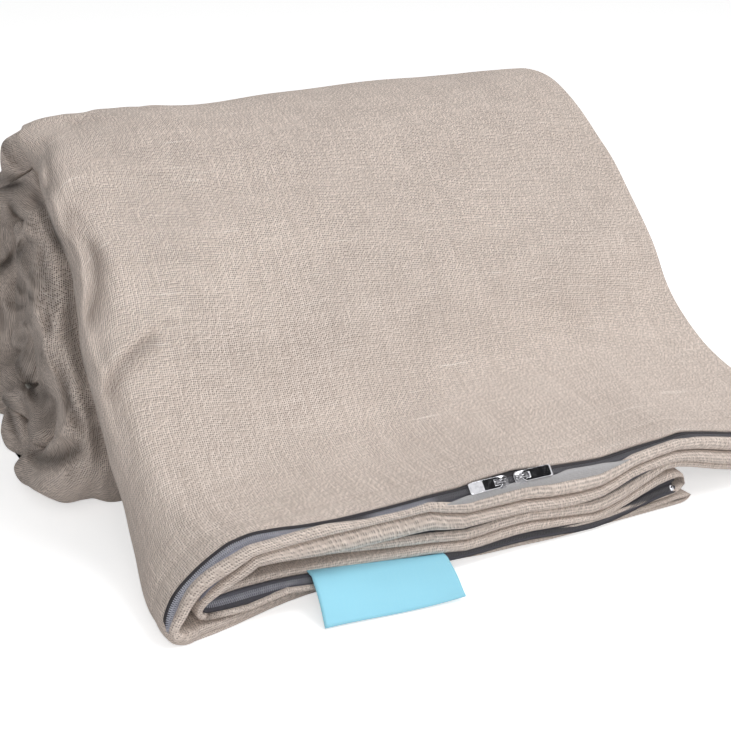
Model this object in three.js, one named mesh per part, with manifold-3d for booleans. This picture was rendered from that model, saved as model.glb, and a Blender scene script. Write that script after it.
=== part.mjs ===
// Water cooling blanket, folded in quarters and rolled up, with its foot edge pulled
// forward and down so that the zipped hem lies on the table.
// Millimetres, +Z up, X along the roll, -Y towards the zipped foot edge.
// The origin is under the middle of the blanket's box, on the surface it rests on.

import * as THREE from 'three';
import Module from 'manifold-3d';
import { mergeVertices } from 'three/addons/utils/BufferGeometryUtils.js';

const wasm = await Module();
wasm.setup();

// Driving sizes of the folded stack
const foldedWidth = 381;
const stackThickness = 26.5;
const layerGap = 0.5;
const coverThickness = 0.9;
const tubePadThickness = 1.3;
const sheetGap = 0.35;
const freeEndSetback = 102;
const freeEndStep = 6;
const padEndInset = 8;
const innerLoopInset = 2;
const innerBendAngle = 30;
const outerBendAngle = 45;

// Driving sizes of the roll and of the tail that leaves it
const rollRadius = 106;
const rollCentreHeight = 78.5;
const rollCentreReach = 217.5;
const turnGap = 1;
const frontStackHeight = 43;
const hemDepth = 20.5;
const coreRadius = 3.5;

// How the roll sits and how its ends stand
const liftOffAngle = 135;
const fineStep = 22.5;
const coarseStep = 45;
const fineTurns = 2;
const coarseSteps = 7;
const bottomPressShare = 0.85;
const cornerFullnessShare = 0.25;
const leftLeanShare = 0.19;
const footSkewShare = 0.13;

// Tail stations from the hem to the roll: how far along and how high its top face is, how
// much of the way its thickness has gone from the front stack's to the roll's, how much of
// the foot edge's skew is left, and how much of the width its left fold is drawn in
const tailTopShares = [
  [0.142, 0.24, 0.12, 0.25, 0.016],
  [0.216, 0.276, 0.42, 0, 0.023],
  [0.301, 0.372, 0.72, 0, 0.022],
  [0.366, 0.5, 0.9, 0, 0.013],
  [0.46, 0.63, 1, 0, 0.012],
  [0.564, 0.751, 1, 0, 0.01],
];
const hemSkewShare = 0.66;

// Driving sizes of the zipper
const hemOverhang = 10.5;
const chainTilt = 45;
const chainReach = 4.9;
const chainLift = 1;
const chainSlot = 1;
const coilWidth = 1.7;
const coilThickness = 1.4;
const tapeThickness = 0.4;
const tapeFlat = 1.1;
const tapeTuck = 8;
const seamGap = 0.3;
const tapeEndInset = 2;
const coilEndInset = 10;
const stopLength = 2.5;

// Driving sizes of the sliders and their pulls
const sliderLength = 9;
const sliderWidth = 6.6;
const sliderEndWidth = 5.2;
const sliderShoulder = 1.5;
const plateThickness = 0.7;
const chainClearance = 0.3;
const flangeWidth = 0.4;
const neckLength = 2.6;
const neckThickness = 0.4;
const bailSpan = 5.1;
const bailWidth = 1.4;
const bailBar = 0.7;
const pullThickness = 0.9;
const pullLength = 17;
const pullWidth = 5.5;
const pullTipWidth = 5.9;
const pullEyeWidth = 3;
const pullEyeLength = 3;
const pullPinLength = 1.2;
const pullPlay = 0.1;
const pullTipRound = 1.2;
const leftSliderPlace = 162.7;
const sliderSpacing = 12.4;

// Driving sizes of the guard strip, the loop label and the water connection
const guardLength = 108;
const guardLeftReach = 33;
const guardDepth = 2;
const guardHeight = 2.6;
const guardRound = 0.8;
const labelWidth = 67.8;
const labelPlace = 70;
const labelThickness = 0.8;
const labelReach = 15;
const labelClearance = 0.35;
const manifoldWidth = 44;
const manifoldDepth = 13.5;
const manifoldThickness = 5;
const portSpacing = 22;
const portOuter = 4.4;
const portBore = 2.6;
const portLength = 6.5;
const portSides = 16;

// Thicknesses that follow from the driving sizes
const layerThickness = (stackThickness - 3 * layerGap) / 4;
const layerPitch = layerThickness + layerGap;
const stackMiddle = stackThickness / 2;
const turnPitch = stackThickness + turnGap;
const rollHeight = rollRadius + rollCentreHeight;
const footScale = frontStackHeight / stackThickness;
const layerFoot = layerThickness * footScale;
const coverFoot = coverThickness * footScale;
const coverInside = layerThickness - coverThickness;
const padEnd = coverInside - sheetGap;
const padStart = padEnd - tubePadThickness;
const fillStart = coverThickness + sheetGap;
const fillEnd = padStart - sheetGap;

// Finishes
const finish = (color, roughness, metalness = 0) =>
  new THREE.MeshStandardMaterial({ color, roughness, metalness });
const linen = finish(0xc4b4a6, 0.92);
const wadding = finish(0xe9e6df, 0.95);
const padFabric = finish(0xd5dde2, 0.8);
const tapeFabric = finish(0x85858f, 0.8);
const coilNylon = finish(0x73747f, 0.45);
const guardFabric = finish(0xb1b4b8, 0.85);
const labelSatin = finish(0x8edcf4, 0.5);
const chrome = finish(0xc9c9cb, 0.18, 1);
const portPlastic = finish(0xe6e7e8, 0.4);

const blanket = new THREE.Group();

const addPart = (name, geometry, material, parent = blanket) => {
  const mesh = new THREE.Mesh(geometry, material);
  mesh.name = name;
  parent.add(mesh);
  return mesh;
};

const direction = (degrees) => {
  const angle = THREE.MathUtils.degToRad(degrees);
  return new THREE.Vector2(Math.cos(angle), Math.sin(angle));
};

// The roll: a spiral whose bottom is pressed flat, turn on turn
const spiralRadius = (travel) => {
  const top = liftOffAngle - 90;
  return rollRadius - (turnPitch * Math.max(0, travel - top)) / 360;
};

const turnRadius = (travel) => {
  const angle = THREE.MathUtils.degToRad(liftOffAngle - travel);
  const below = Math.sin(angle);
  const plain = spiralRadius(travel);
  if (below >= 0) return Math.max(plain, coreRadius);
  const fullness = 1 + cornerFullnessShare * Math.sin(2 * angle) ** 2;
  const turnsInside = Math.floor((travel - liftOffAngle) / 360);
  const seat = turnsInside * turnPitch * bottomPressShare;
  const pressed = (rollCentreHeight - seat) / -below;
  return Math.max(Math.min(plain * fullness, pressed), coreRadius);
};

const rollCentre = new THREE.Vector2(rollCentreReach, rollCentreHeight);

const rollStation = (travel) => {
  const ray = direction(liftOffAngle - travel);
  const outer = rollCentre.clone().addScaledVector(ray, turnRadius(travel));
  const inner = rollCentre.clone().addScaledVector(ray, turnRadius(travel + 360) + turnGap);
  return { outer, inner, skew: 0, drawnIn: 0 };
};

// The tail: from the hem, flat on the table, up to where it lies on the roll
const tailTops = tailTopShares.map(
  ([reach, height]) => new THREE.Vector2(reach * rollCentreReach, height * rollHeight),
);

const squareAcross = (before, after) => {
  const along = after.clone().sub(before).normalize();
  return new THREE.Vector2(-along.y, along.x);
};

const tailStation = (index) => {
  const before = tailTops[index - 1] ?? new THREE.Vector2(hemDepth, frontStackHeight);
  const here = tailTops[index];
  const after = tailTops[index + 1] ?? rollStation(0).outer;
  const across = squareAcross(before, here).add(squareAcross(here, after)).normalize();
  const [, , settled, skewed, drawn] = tailTopShares[index];
  const thickness = THREE.MathUtils.lerp(frontStackHeight, stackThickness, settled);
  const inner = here.clone().addScaledVector(across, -thickness);
  const drawnIn = drawn * foldedWidth;
  return { outer: here, inner, skew: skewed * footSkewShare, drawnIn };
};

const flatStation = (reach, skew) => ({
  outer: new THREE.Vector2(reach, frontStackHeight),
  inner: new THREE.Vector2(reach, 0),
  skew,
  drawnIn: 0,
});

const footStation = flatStation(0, footSkewShare);
const hemStation = flatStation(hemDepth, hemSkewShare * footSkewShare);
const innerStations = [hemStation];
for (let index = 0; index < tailTops.length; index += 1) innerStations.push(tailStation(index));
const fineSteps = (fineTurns * 360) / fineStep;
for (let step = 0; step <= fineSteps; step += 1) innerStations.push(rollStation(step * fineStep));
for (let step = 1; step <= coarseSteps; step += 1) {
  innerStations.push(rollStation(fineTurns * 360 + step * coarseStep));
}

// A place in the stack: across from the left fold, down from the outer face, at a station
const place = (station, across, down, forward = 0) => {
  const share = down / stackThickness;
  const height = THREE.MathUtils.lerp(station.outer.y, station.inner.y, share);
  const reach = THREE.MathUtils.lerp(station.outer.x, station.inner.x, share);
  const lean = (leftLeanShare * height + station.drawnIn) * (1 - across / foldedWidth);
  const x = across + lean - foldedWidth / 2;
  return new THREE.Vector3(x, reach - forward - station.skew * across, height);
};

// The quarter fold seen from the end: one line through all four layers, at a depth inside
// the layer that is counted from the outside of the top cover panel
const quarterFold = (inside, endInset = 0) => {
  const first = inside;
  const second = layerPitch + layerThickness - inside;
  const third = 2 * layerPitch + inside;
  const fourth = 3 * layerPitch + layerThickness - inside;
  const innerRadius = layerGap / 2 + inside;
  const innerCentre = stackMiddle + innerLoopInset;
  const innerBend = direction(innerBendAngle).multiplyScalar(innerRadius);
  const outerRadius = stackMiddle - inside;
  const outerBend = direction(outerBendAngle).multiplyScalar(outerRadius);
  const right = foldedWidth - inside;
  const thirdEnd = foldedWidth - freeEndSetback - endInset;
  const fourthEnd = thirdEnd + freeEndStep;
  return [
    [thirdEnd, third],
    [innerCentre, third],
    [innerCentre - innerBend.x, stackMiddle + innerBend.y],
    [innerCentre - innerBend.x, stackMiddle - innerBend.y],
    [innerCentre, second],
    [right, second],
    [right, first],
    [stackMiddle, first],
    [stackMiddle - outerBend.x, stackMiddle - outerBend.y],
    [stackMiddle - outerRadius, stackMiddle],
    [stackMiddle - outerBend.x, stackMiddle + outerBend.y],
    [stackMiddle, fourth],
    [fourthEnd, fourth],
  ];
};

// A closed band through rings, each with as many points on its face as on its back
const bandGeometry = (rings) => {
  const count = rings[0].face.length;
  const positions = [];
  for (const { face, back } of rings) {
    for (const point of [...face, ...back]) positions.push(point.x, point.y, point.z);
  }
  const at = (ring, side, index) => (ring * 2 + side) * count + index;
  const triangles = [];
  const quad = (a, b, c, d) => triangles.push([a, b, c], [a, c, d]);
  for (let ring = 0; ring < rings.length - 1; ring += 1) {
    const next = ring + 1;
    for (let i = 0; i < count - 1; i += 1) {
      quad(at(ring, 0, i), at(ring, 0, i + 1), at(next, 0, i + 1), at(next, 0, i));
      triangles.push([at(ring, 1, i), at(next, 1, i + 1), at(ring, 1, i + 1)]);
      triangles.push([at(ring, 1, i), at(next, 1, i), at(next, 1, i + 1)]);
    }
    const last = count - 1;
    quad(at(ring, 0, 0), at(next, 0, 0), at(next, 1, 0), at(ring, 1, 0));
    quad(at(ring, 0, last), at(ring, 1, last), at(next, 1, last), at(next, 0, last));
  }
  const end = rings.length - 1;
  for (let i = 0; i < count - 1; i += 1) {
    quad(at(0, 0, i), at(0, 1, i), at(0, 1, i + 1), at(0, 0, i + 1));
    quad(at(end, 0, i), at(end, 0, i + 1), at(end, 1, i + 1), at(end, 1, i));
  }
  const corner = (index) => new THREE.Vector3().fromArray(positions, 3 * index);
  const volume = triangles.reduce(
    (sum, [a, b, c]) => sum + corner(a).dot(corner(b).cross(corner(c))),
    0,
  );
  const indices = triangles.flatMap(([a, b, c]) => (volume > 0 ? [a, b, c] : [a, c, b]));
  const geometry = new THREE.BufferGeometry();
  geometry.setAttribute('position', new THREE.Float32BufferAttribute(positions, 3));
  geometry.setIndex(indices);
  geometry.computeVertexNormals();
  return geometry;
};

// A sheet of cloth that goes through the quarter fold and round the roll
const sheetGeometry = (from, to, endInset, forward) => {
  const ring = (station, out) => ({
    face: quarterFold(from, endInset).map(([across, down]) => place(station, across, down, out)),
    back: quarterFold(to, endInset).map(([across, down]) => place(station, across, down, out)),
  });
  const rings = innerStations.map((station) => ring(station, 0));
  if (forward !== undefined) rings.unshift(ring(footStation, forward));
  return bandGeometry(rings);
};

addPart('cover_top_panel', sheetGeometry(0, coverThickness, 0, 0), linen);
addPart('cover_bottom_panel', sheetGeometry(coverInside, layerThickness, 0, hemOverhang), linen);
addPart('weighted_fill_layer', sheetGeometry(fillStart, fillEnd, padEndInset), wadding);
addPart('water_tube_pad', sheetGeometry(padStart, padEnd, padEndInset), padFabric);

// A place at the foot edge: across, forward of the top panel's hem, and below the outside
// of the top panel in its own layer
const footPlace = (across, down, forward) => place(footStation, across, down, forward);

// A strip sewn along the foot edge, from a section of face and back points that are each
// given forward of the hem and below the top panel
const footStripGeometry = (section, line) => {
  const lines = {
    face: section.face.map(({ x, y }) => ({ forward: x, points: line(y / footScale) })),
    back: section.back.map(({ x, y }) => ({ forward: x, points: line(y / footScale) })),
  };
  const rings = lines.face[0].points.map((_, index) => ({
    face: lines.face.map(({ forward, points }) => footPlace(...points[index], forward)),
    back: lines.back.map(({ forward, points }) => footPlace(...points[index], forward)),
  }));
  return bandGeometry(rings);
};

const wholeFold = (endInset) => (inside) => quarterFold(inside, endInset);
const topStretch = (from, to) => (inside) => [
  [from, inside],
  [to, inside],
];

// Offsets a line of points to both sides by half a thickness
const ribbonSection = (points, thickness) => {
  const face = [];
  const back = [];
  points.forEach((point, index) => {
    const before = points[index - 1] ?? point;
    const after = points[index + 1] ?? point;
    const sides = [];
    if (before !== point) sides.push(squareAcross(before, point));
    if (after !== point) sides.push(squareAcross(point, after));
    const across = sides.reduce((sum, side) => sum.clone().add(side)).normalize();
    const half = thickness / 2 / across.dot(sides[0]);
    face.push(point.clone().addScaledVector(across, half));
    back.push(point.clone().addScaledVector(across, -half));
  });
  return { face, back };
};

// The chain's own frame in a section of the foot edge: up the chain and out of its face
const chainUp = direction(180 + chainTilt);
const chainOut = direction(chainTilt - 90);
const chainMiddle = new THREE.Vector2(chainReach, layerFoot / 2 - chainLift);
const onChain = (up, out) =>
  chainMiddle.clone().addScaledVector(chainUp, up).addScaledVector(chainOut, out);

const slotHalf = chainSlot / 2;
const coilEdge = slotHalf + coilWidth;
const coilHalf = coilThickness / 2;
const tapeEdge = coilEdge + seamGap;
const tapeBend = tapeEdge + tapeFlat;

const coilSection = (side) => {
  const bevel = coilHalf / 2;
  return {
    face: [
      onChain(side * slotHalf, bevel),
      onChain(side * (slotHalf + bevel), coilHalf),
      onChain(side * (coilEdge - bevel), coilHalf),
      onChain(side * coilEdge, bevel),
    ],
    back: [
      onChain(side * slotHalf, -bevel),
      onChain(side * (slotHalf + bevel), -coilHalf),
      onChain(side * (coilEdge - bevel), -coilHalf),
      onChain(side * coilEdge, -bevel),
    ],
  };
};

// The upper tape tucks under the top panel's hem, the lower one lies on the bottom panel's
const upperSeam = coverFoot + seamGap + tapeThickness / 2;
const lowerSeam = layerFoot - coverFoot - seamGap - tapeThickness / 2;
const upperTapeLine = [
  onChain(tapeEdge, 0),
  onChain(tapeBend, 0),
  new THREE.Vector2(tapeThickness, upperSeam),
  new THREE.Vector2(-tapeTuck, upperSeam),
];
const lowerTapeLine = [
  onChain(-tapeEdge, 0),
  onChain(-tapeBend, 0),
  new THREE.Vector2(onChain(-tapeBend, 0).x, lowerSeam),
  new THREE.Vector2(tapeThickness, lowerSeam),
];

addPart(
  'zipper_tape_upper',
  footStripGeometry(ribbonSection(upperTapeLine, tapeThickness), wholeFold(tapeEndInset)),
  tapeFabric,
);
addPart(
  'zipper_tape_lower',
  footStripGeometry(ribbonSection(lowerTapeLine, tapeThickness), wholeFold(tapeEndInset)),
  tapeFabric,
);
addPart('zipper_coil_upper', footStripGeometry(coilSection(1), wholeFold(coilEndInset)), coilNylon);
addPart('zipper_coil_lower', footStripGeometry(coilSection(-1), wholeFold(coilEndInset)), coilNylon);

// A stop closes the chain at each of its two ends
const stopSection = {
  face: [onChain(-coilEdge, coilHalf), onChain(coilEdge, coilHalf)],
  back: [onChain(-coilEdge, -coilHalf), onChain(coilEdge, -coilHalf)],
};
const stopStretch = (pick) => (inside) => {
  const [across, down] = pick(quarterFold(inside, coilEndInset));
  const start = across + seamGap;
  return [
    [start, down],
    [start + stopLength, down],
  ];
};
addPart('zipper_stop_first', footStripGeometry(stopSection, stopStretch((line) => line[0])), chrome);
addPart('zipper_stop_last', footStripGeometry(stopSection, stopStretch((line) => line.at(-1))), chrome);

// The guard strip lies on the bottom panel's hem, in front of the lower tape
const guardBase = layerFoot - coverFoot - seamGap;
const guardBack = onChain(-tapeBend, 0).x + tapeThickness + seamGap;
const guardFront = guardBack + guardDepth;
const guardTop = guardBase - guardHeight;
const guardSection = {
  face: [
    new THREE.Vector2(guardBack, guardBase),
    new THREE.Vector2(guardBack, guardTop + guardRound),
    new THREE.Vector2(guardBack + guardRound / 2, guardTop),
  ],
  back: [
    new THREE.Vector2(guardFront, guardBase),
    new THREE.Vector2(guardFront, guardTop + guardRound),
    new THREE.Vector2(guardFront - guardRound, guardTop),
  ],
};
const guardLeft = leftSliderPlace - guardLeftReach;
addPart(
  'zipper_guard_strip',
  footStripGeometry(guardSection, topStretch(guardLeft, guardLeft + guardLength)),
  guardFabric,
);

// The loop label hangs from the third layer's top panel hem over the chain to the table
const thirdTop = 2 * layerPitch * footScale;
const labelHalf = labelThickness / 2;
const clearOfHem = hemOverhang + labelClearance + labelHalf;
const labelDrop = (down) => thirdTop + down;
const labelFloor = frontStackHeight - labelClearance - labelHalf;
const overChain = coilHalf + plateThickness + labelHalf;
const labelTurn = 2 * labelThickness;
const labelLine = [
  new THREE.Vector2(labelClearance, labelDrop(labelHalf)),
  onChain(tapeBend, overChain).add(new THREE.Vector2(0, thirdTop)),
  onChain(-tapeBend, overChain).add(new THREE.Vector2(0, thirdTop)),
  new THREE.Vector2(clearOfHem, labelDrop(layerFoot - coverFoot)),
  new THREE.Vector2(clearOfHem, labelFloor - labelTurn),
  new THREE.Vector2(clearOfHem + labelTurn, labelFloor),
  new THREE.Vector2(clearOfHem + labelReach, labelFloor),
];
const labelStretch = topStretch(labelPlace, labelPlace + labelWidth);
addPart(
  'loop_label',
  footStripGeometry(ribbonSection(labelLine, labelThickness), labelStretch),
  labelSatin,
);

// Joins closed shapes into one solid
const toSolid = (geometry) => {
  const plain = geometry.index ? geometry.clone() : geometry;
  plain.deleteAttribute('normal');
  plain.deleteAttribute('uv');
  const merged = mergeVertices(plain);
  return new wasm.Manifold(
    new wasm.Mesh({
      numProp: 3,
      vertProperties: new Float32Array(merged.attributes.position.array),
      triVerts: new Uint32Array(merged.index.array),
    }),
  );
};

const toGeometry = (solid) => {
  const { vertProperties, triVerts } = solid.getMesh();
  const geometry = new THREE.BufferGeometry();
  geometry.setAttribute('position', new THREE.BufferAttribute(vertProperties, 3));
  geometry.setIndex(new THREE.BufferAttribute(triVerts, 1));
  geometry.computeVertexNormals();
  return geometry;
};

const joined = (geometries) => toGeometry(geometries.map(toSolid).reduce((all, one) => all.add(one)));

const block = (sizeX, sizeY, sizeZ, x, y, z) =>
  new THREE.BoxGeometry(sizeX, sizeY, sizeZ).translate(x, y, z);

const slab = (points, bottom, thickness) => {
  const shape = new THREE.Shape(points.map(([x, y]) => new THREE.Vector2(x, y)));
  const geometry = new THREE.ExtrudeGeometry(shape, { depth: thickness, bevelEnabled: false });
  return geometry.translate(0, 0, bottom);
};

// A slider with its pull, in its own frame: x along the pull, from the nose to the tail,
// and z out of the chain's face. The neck between its two plates runs in the chain's slot.
const chainRoom = coilHalf + chainClearance;
const plateTop = chainRoom + plateThickness;
const pinReach = Math.hypot(pullPinLength, pullThickness) / 2;
const hingeHeight = plateTop + pinReach + pullPlay;
const bailInside = hingeHeight + pinReach + pullPlay;
const bailTop = bailInside + bailBar;

const sliderBody = () => {
  const nose = -sliderLength / 2;
  const tail = sliderLength / 2;
  const half = sliderWidth / 2;
  const endHalf = sliderEndWidth / 2;
  const outline = [
    [nose, -endHalf],
    [nose + sliderShoulder, -half],
    [tail - sliderShoulder, -half],
    [tail, -endHalf],
    [tail, endHalf],
    [tail - sliderShoulder, half],
    [nose + sliderShoulder, half],
    [nose, endHalf],
  ];
  const neckHeight = 2 * chainRoom + plateThickness;
  const neckMiddle = nose + sliderShoulder + neckLength / 2;
  const flangeLength = sliderLength - 2 * sliderShoulder;
  const flangeDrop = chainRoom - tapeThickness / 2 - chainClearance;
  const flangeMiddle = half - flangeWidth / 2;
  const flangeHeight = chainRoom - flangeDrop / 2 + plateThickness / 4;
  const flangeSize = flangeDrop + plateThickness / 2;
  const footMiddle = (bailSpan - bailBar) / 2;
  const footSize = bailTop - plateTop + plateThickness / 2;
  const footHeight = bailTop - footSize / 2;
  const pieces = [
    slab(outline, chainRoom, plateThickness),
    slab(outline, -plateTop, plateThickness),
    block(neckLength, neckThickness, neckHeight, neckMiddle, 0, 0),
    block(bailSpan, bailWidth, bailBar, 0, 0, bailTop - bailBar / 2),
  ];
  for (const side of [-1, 1]) {
    pieces.push(block(bailBar, bailWidth, footSize, side * footMiddle, 0, footHeight));
    for (const face of [-1, 1]) {
      const y = side * flangeMiddle;
      pieces.push(block(flangeLength, flangeWidth, flangeSize, 0, y, face * flangeHeight));
    }
  }
  return joined(pieces);
};

const pullPlate = () => {
  const pinHalf = pullPinLength / 2;
  const half = pullWidth / 2;
  const tipHalf = pullTipWidth / 2;
  const eyeHalf = pullEyeWidth / 2;
  const tip = pullLength;
  const shape = new THREE.Shape();
  shape.moveTo(-pinHalf, -eyeHalf);
  shape.lineTo(pinHalf, -half);
  shape.absarc(tip - pullTipRound, -tipHalf + pullTipRound, pullTipRound, -Math.PI / 2, 0);
  shape.absarc(tip - pullTipRound, tipHalf - pullTipRound, pullTipRound, 0, Math.PI / 2);
  shape.lineTo(pinHalf, half);
  shape.lineTo(-pinHalf, eyeHalf);
  const options = { depth: pullThickness, bevelEnabled: false, curveSegments: 4 };
  const plate = new THREE.ExtrudeGeometry(shape, options).translate(0, 0, -pullThickness / 2);
  const eyeMiddle = pinHalf + pullEyeLength / 2;
  const eye = block(pullEyeLength, pullEyeWidth, 2 * pullThickness, eyeMiddle, 0, 0);
  return toGeometry(toSolid(plate).subtract(toSolid(eye)));
};

// Stands a slider on the chain of the top layer at a distance from the left fold
const sliderFrame = (across) => {
  const { x: forward, y: below } = chainMiddle;
  const origin = footPlace(across, below / footScale, forward);
  const further = footPlace(across + sliderLength, below / footScale, forward);
  const along = further.sub(origin).normalize();
  const tilt = THREE.MathUtils.degToRad(chainTilt);
  const up = new THREE.Vector3(0, Math.cos(tilt), Math.sin(tilt));
  const out = along.clone().cross(up).normalize();
  const square = out.clone().cross(along);
  const frame = new THREE.Group();
  frame.position.copy(origin);
  frame.quaternion.setFromRotationMatrix(new THREE.Matrix4().makeBasis(along, square, out));
  return frame;
};

const sliders = [
  { side: 'left', across: leftSliderPlace, turn: Math.PI },
  { side: 'right', across: leftSliderPlace + sliderSpacing, turn: 0 },
];
for (const { side, across, turn } of sliders) {
  const frame = sliderFrame(across);
  const facing = new THREE.Group();
  facing.rotation.z = turn;
  addPart(`slider_${side}_body`, sliderBody(), chrome, facing);
  const pull = addPart(`slider_${side}_pull`, pullPlate(), chrome, facing);
  pull.position.z = hingeHeight;
  frame.add(facing);
  blanket.add(frame);
}

// The water connection sits in the hem of the second layer, behind the zipper, with its
// back against the pad and its two ports towards the foot edge
const manifoldMiddle = foldedWidth / 2;
const footTurn = -Math.atan(footSkewShare);
const padFront = hemDepth + (1 - hemSkewShare) * footSkewShare * (manifoldMiddle - manifoldWidth / 2);
const manifoldBack = padFront * Math.cos(footTurn) - sheetGap;
const secondMiddle = (layerPitch + layerThickness / 2) * footScale;
const connection = new THREE.Group();
connection.position.copy(footPlace(manifoldMiddle, secondMiddle / footScale, 0));
connection.rotation.z = footTurn;
const manifoldFront = manifoldBack - manifoldDepth;
const manifoldShape = new THREE.BoxGeometry(manifoldWidth, manifoldDepth, manifoldThickness);
const manifold = addPart('water_manifold', manifoldShape, portPlastic, connection);
manifold.position.y = manifoldBack - manifoldDepth / 2;

const portGeometry = () => {
  const bore = portBore / 2;
  const wall = portOuter / 2;
  const profile = [
    new THREE.Vector2(bore, 0),
    new THREE.Vector2(wall, 0),
    new THREE.Vector2(wall, portLength),
    new THREE.Vector2(bore, portLength),
    new THREE.Vector2(bore, 0),
  ];
  return joined([new THREE.LatheGeometry(profile, portSides)]);
};
const ports = [
  { name: 'inlet_port', side: -1 },
  { name: 'outlet_port', side: 1 },
];
for (const { name, side } of ports) {
  const port = addPart(name, portGeometry(), portPlastic, connection);
  port.position.set((side * portSpacing) / 2, manifoldFront - seamGap - portLength, 0);
}
blanket.add(connection);

// Moves the origin under the middle of the whole blanket
const whole = new THREE.Box3().setFromObject(blanket);
const middle = whole.getCenter(new THREE.Vector3());
blanket.position.set(-middle.x, -middle.y, -whole.min.z);

export default blanket;
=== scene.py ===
"""A water cooling blanket, folded in quarters and rolled up, with its zipped foot edge in front.

Lengths are in millimetres in the shapes and become metres when a mesh is made. X runs along
the roll, -Y towards the zipped foot edge and +Z up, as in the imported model.
"""

from __future__ import annotations

import logging
import math
from dataclasses import dataclass, field
from enum import Enum
from typing import Sequence

import bpy
import numpy as np
from mathutils import Matrix, Vector


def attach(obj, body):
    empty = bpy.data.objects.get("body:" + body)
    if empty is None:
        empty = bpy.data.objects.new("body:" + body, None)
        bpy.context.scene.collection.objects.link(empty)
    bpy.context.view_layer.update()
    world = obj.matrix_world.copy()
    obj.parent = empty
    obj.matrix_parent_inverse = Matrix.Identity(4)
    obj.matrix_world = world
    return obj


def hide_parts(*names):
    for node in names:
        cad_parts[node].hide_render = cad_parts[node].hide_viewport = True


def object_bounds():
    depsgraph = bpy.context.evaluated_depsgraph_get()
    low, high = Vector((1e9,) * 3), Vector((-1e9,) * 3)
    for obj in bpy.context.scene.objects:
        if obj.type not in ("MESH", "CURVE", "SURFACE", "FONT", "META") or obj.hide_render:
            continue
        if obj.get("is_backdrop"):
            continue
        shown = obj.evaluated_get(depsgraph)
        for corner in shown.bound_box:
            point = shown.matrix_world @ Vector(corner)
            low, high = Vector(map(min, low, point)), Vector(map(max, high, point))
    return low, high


MM = 0.001
LOG = logging.getLogger("cooling_blanket")

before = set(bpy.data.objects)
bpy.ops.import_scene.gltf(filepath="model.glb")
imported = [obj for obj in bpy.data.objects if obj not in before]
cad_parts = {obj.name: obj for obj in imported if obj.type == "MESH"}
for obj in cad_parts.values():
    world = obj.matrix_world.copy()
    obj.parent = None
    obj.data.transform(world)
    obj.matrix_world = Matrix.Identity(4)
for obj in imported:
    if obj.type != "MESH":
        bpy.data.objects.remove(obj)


# Numbers and curves


def smooth_step(low: float, high: float, value: np.ndarray) -> np.ndarray:
    """Eases from 0 at low to 1 at high.

    Args:
        low: The value at which the result is 0.
        high: The value at which the result is 1.
        value: The values to ease.

    Returns:
        The eased values, of the same shape.
    """
    share = np.clip((np.asarray(value, float) - low) / (high - low), 0.0, 1.0)
    return share * share * (3.0 - 2.0 * share)


def mix(a: np.ndarray, b: np.ndarray, share: np.ndarray) -> np.ndarray:
    """Blends a into b by a share."""
    return a + (b - a) * share


def table(rows: Sequence[tuple[float, float]], value: np.ndarray) -> np.ndarray:
    """Reads a table of places and sizes at some places.

    Args:
        rows: Pairs of a place and the size there, in any order.
        value: The places to read.

    Returns:
        The sizes there, held at the table's ends.
    """
    ordered = np.array(sorted(rows), float)
    return np.interp(value, ordered[:, 0], ordered[:, 1])


def lengths_along(points: np.ndarray) -> np.ndarray:
    """Gives each point's distance along its line, starting from 0."""
    steps = np.linalg.norm(np.diff(points, axis=0), axis=1)
    return np.concatenate([[0.0], np.cumsum(steps)])


def resample(points: np.ndarray, at: np.ndarray) -> np.ndarray:
    """Reads a line at distances along it.

    Args:
        points: The line's points, one a row.
        at: Distances along the line.

    Returns:
        The points there, one a row.
    """
    along = lengths_along(points)
    return np.stack([np.interp(at, along, points[:, k]) for k in range(points.shape[1])], 1)


def soften(values: np.ndarray, reach: float) -> np.ndarray:
    """Smooths evenly spaced rows, keeping both ends where they are.

    Args:
        values: The rows to smooth.
        reach: The spread of the smoothing, in rows.

    Returns:
        The smoothed rows.
    """
    width = int(math.ceil(3 * reach))
    offsets = np.arange(-width, width + 1)
    weights = np.exp(-0.5 * (offsets / reach) ** 2)
    weights /= weights.sum()
    first, last = values[:1], values[-1:]
    before = 2 * first - values[width:0:-1]
    after = 2 * last - values[-2 : -width - 2 : -1]
    padded = np.concatenate([before, values, after])
    columns = [np.convolve(padded[:, k], weights, mode="valid") for k in range(values.shape[1])]
    return np.stack(columns, 1)


def through(points: Sequence[Sequence[float]], per_span: int) -> np.ndarray:
    """Draws a smooth line through points.

    Args:
        points: The points that the line goes through.
        per_span: How many steps to take between two points.

    Returns:
        The line's points, one a row.
    """
    p = np.array(points, float)
    p = np.vstack([2 * p[0] - p[1], p, 2 * p[-1] - p[-2]])
    rows = []
    for i in range(1, len(p) - 2):
        for t in np.linspace(0.0, 1.0, per_span, endpoint=False):
            a = 2 * p[i]
            b = (p[i + 1] - p[i - 1]) * t
            c = (2 * p[i - 1] - 5 * p[i] + 4 * p[i + 1] - p[i + 2]) * t * t
            d = (3 * p[i] - 3 * p[i + 1] + p[i + 2] - p[i - 1]) * t**3
            rows.append(0.5 * (a + b + c + d))
    rows.append(p[-2])
    return np.array(rows)


def unit(vectors: np.ndarray) -> np.ndarray:
    """Scales each row to length 1."""
    size = np.linalg.norm(vectors, axis=-1, keepdims=True)
    return vectors / np.maximum(size, 1e-9)


def rounded(turn: np.ndarray, wide: float, high: float) -> tuple[np.ndarray, np.ndarray]:
    """Gives a rounded box's outline at some angles, 1 each way, from the power of each direction."""
    c, s = np.cos(turn), np.sin(turn)
    return np.sign(c) * np.abs(c) ** wide, np.sign(s) * np.abs(s) ** high


def round_angles(count: int) -> np.ndarray:
    """Gives evenly spaced angles once round, in radians."""
    return np.linspace(0, 2 * np.pi, count, endpoint=False)


# The blanket's folds


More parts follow.
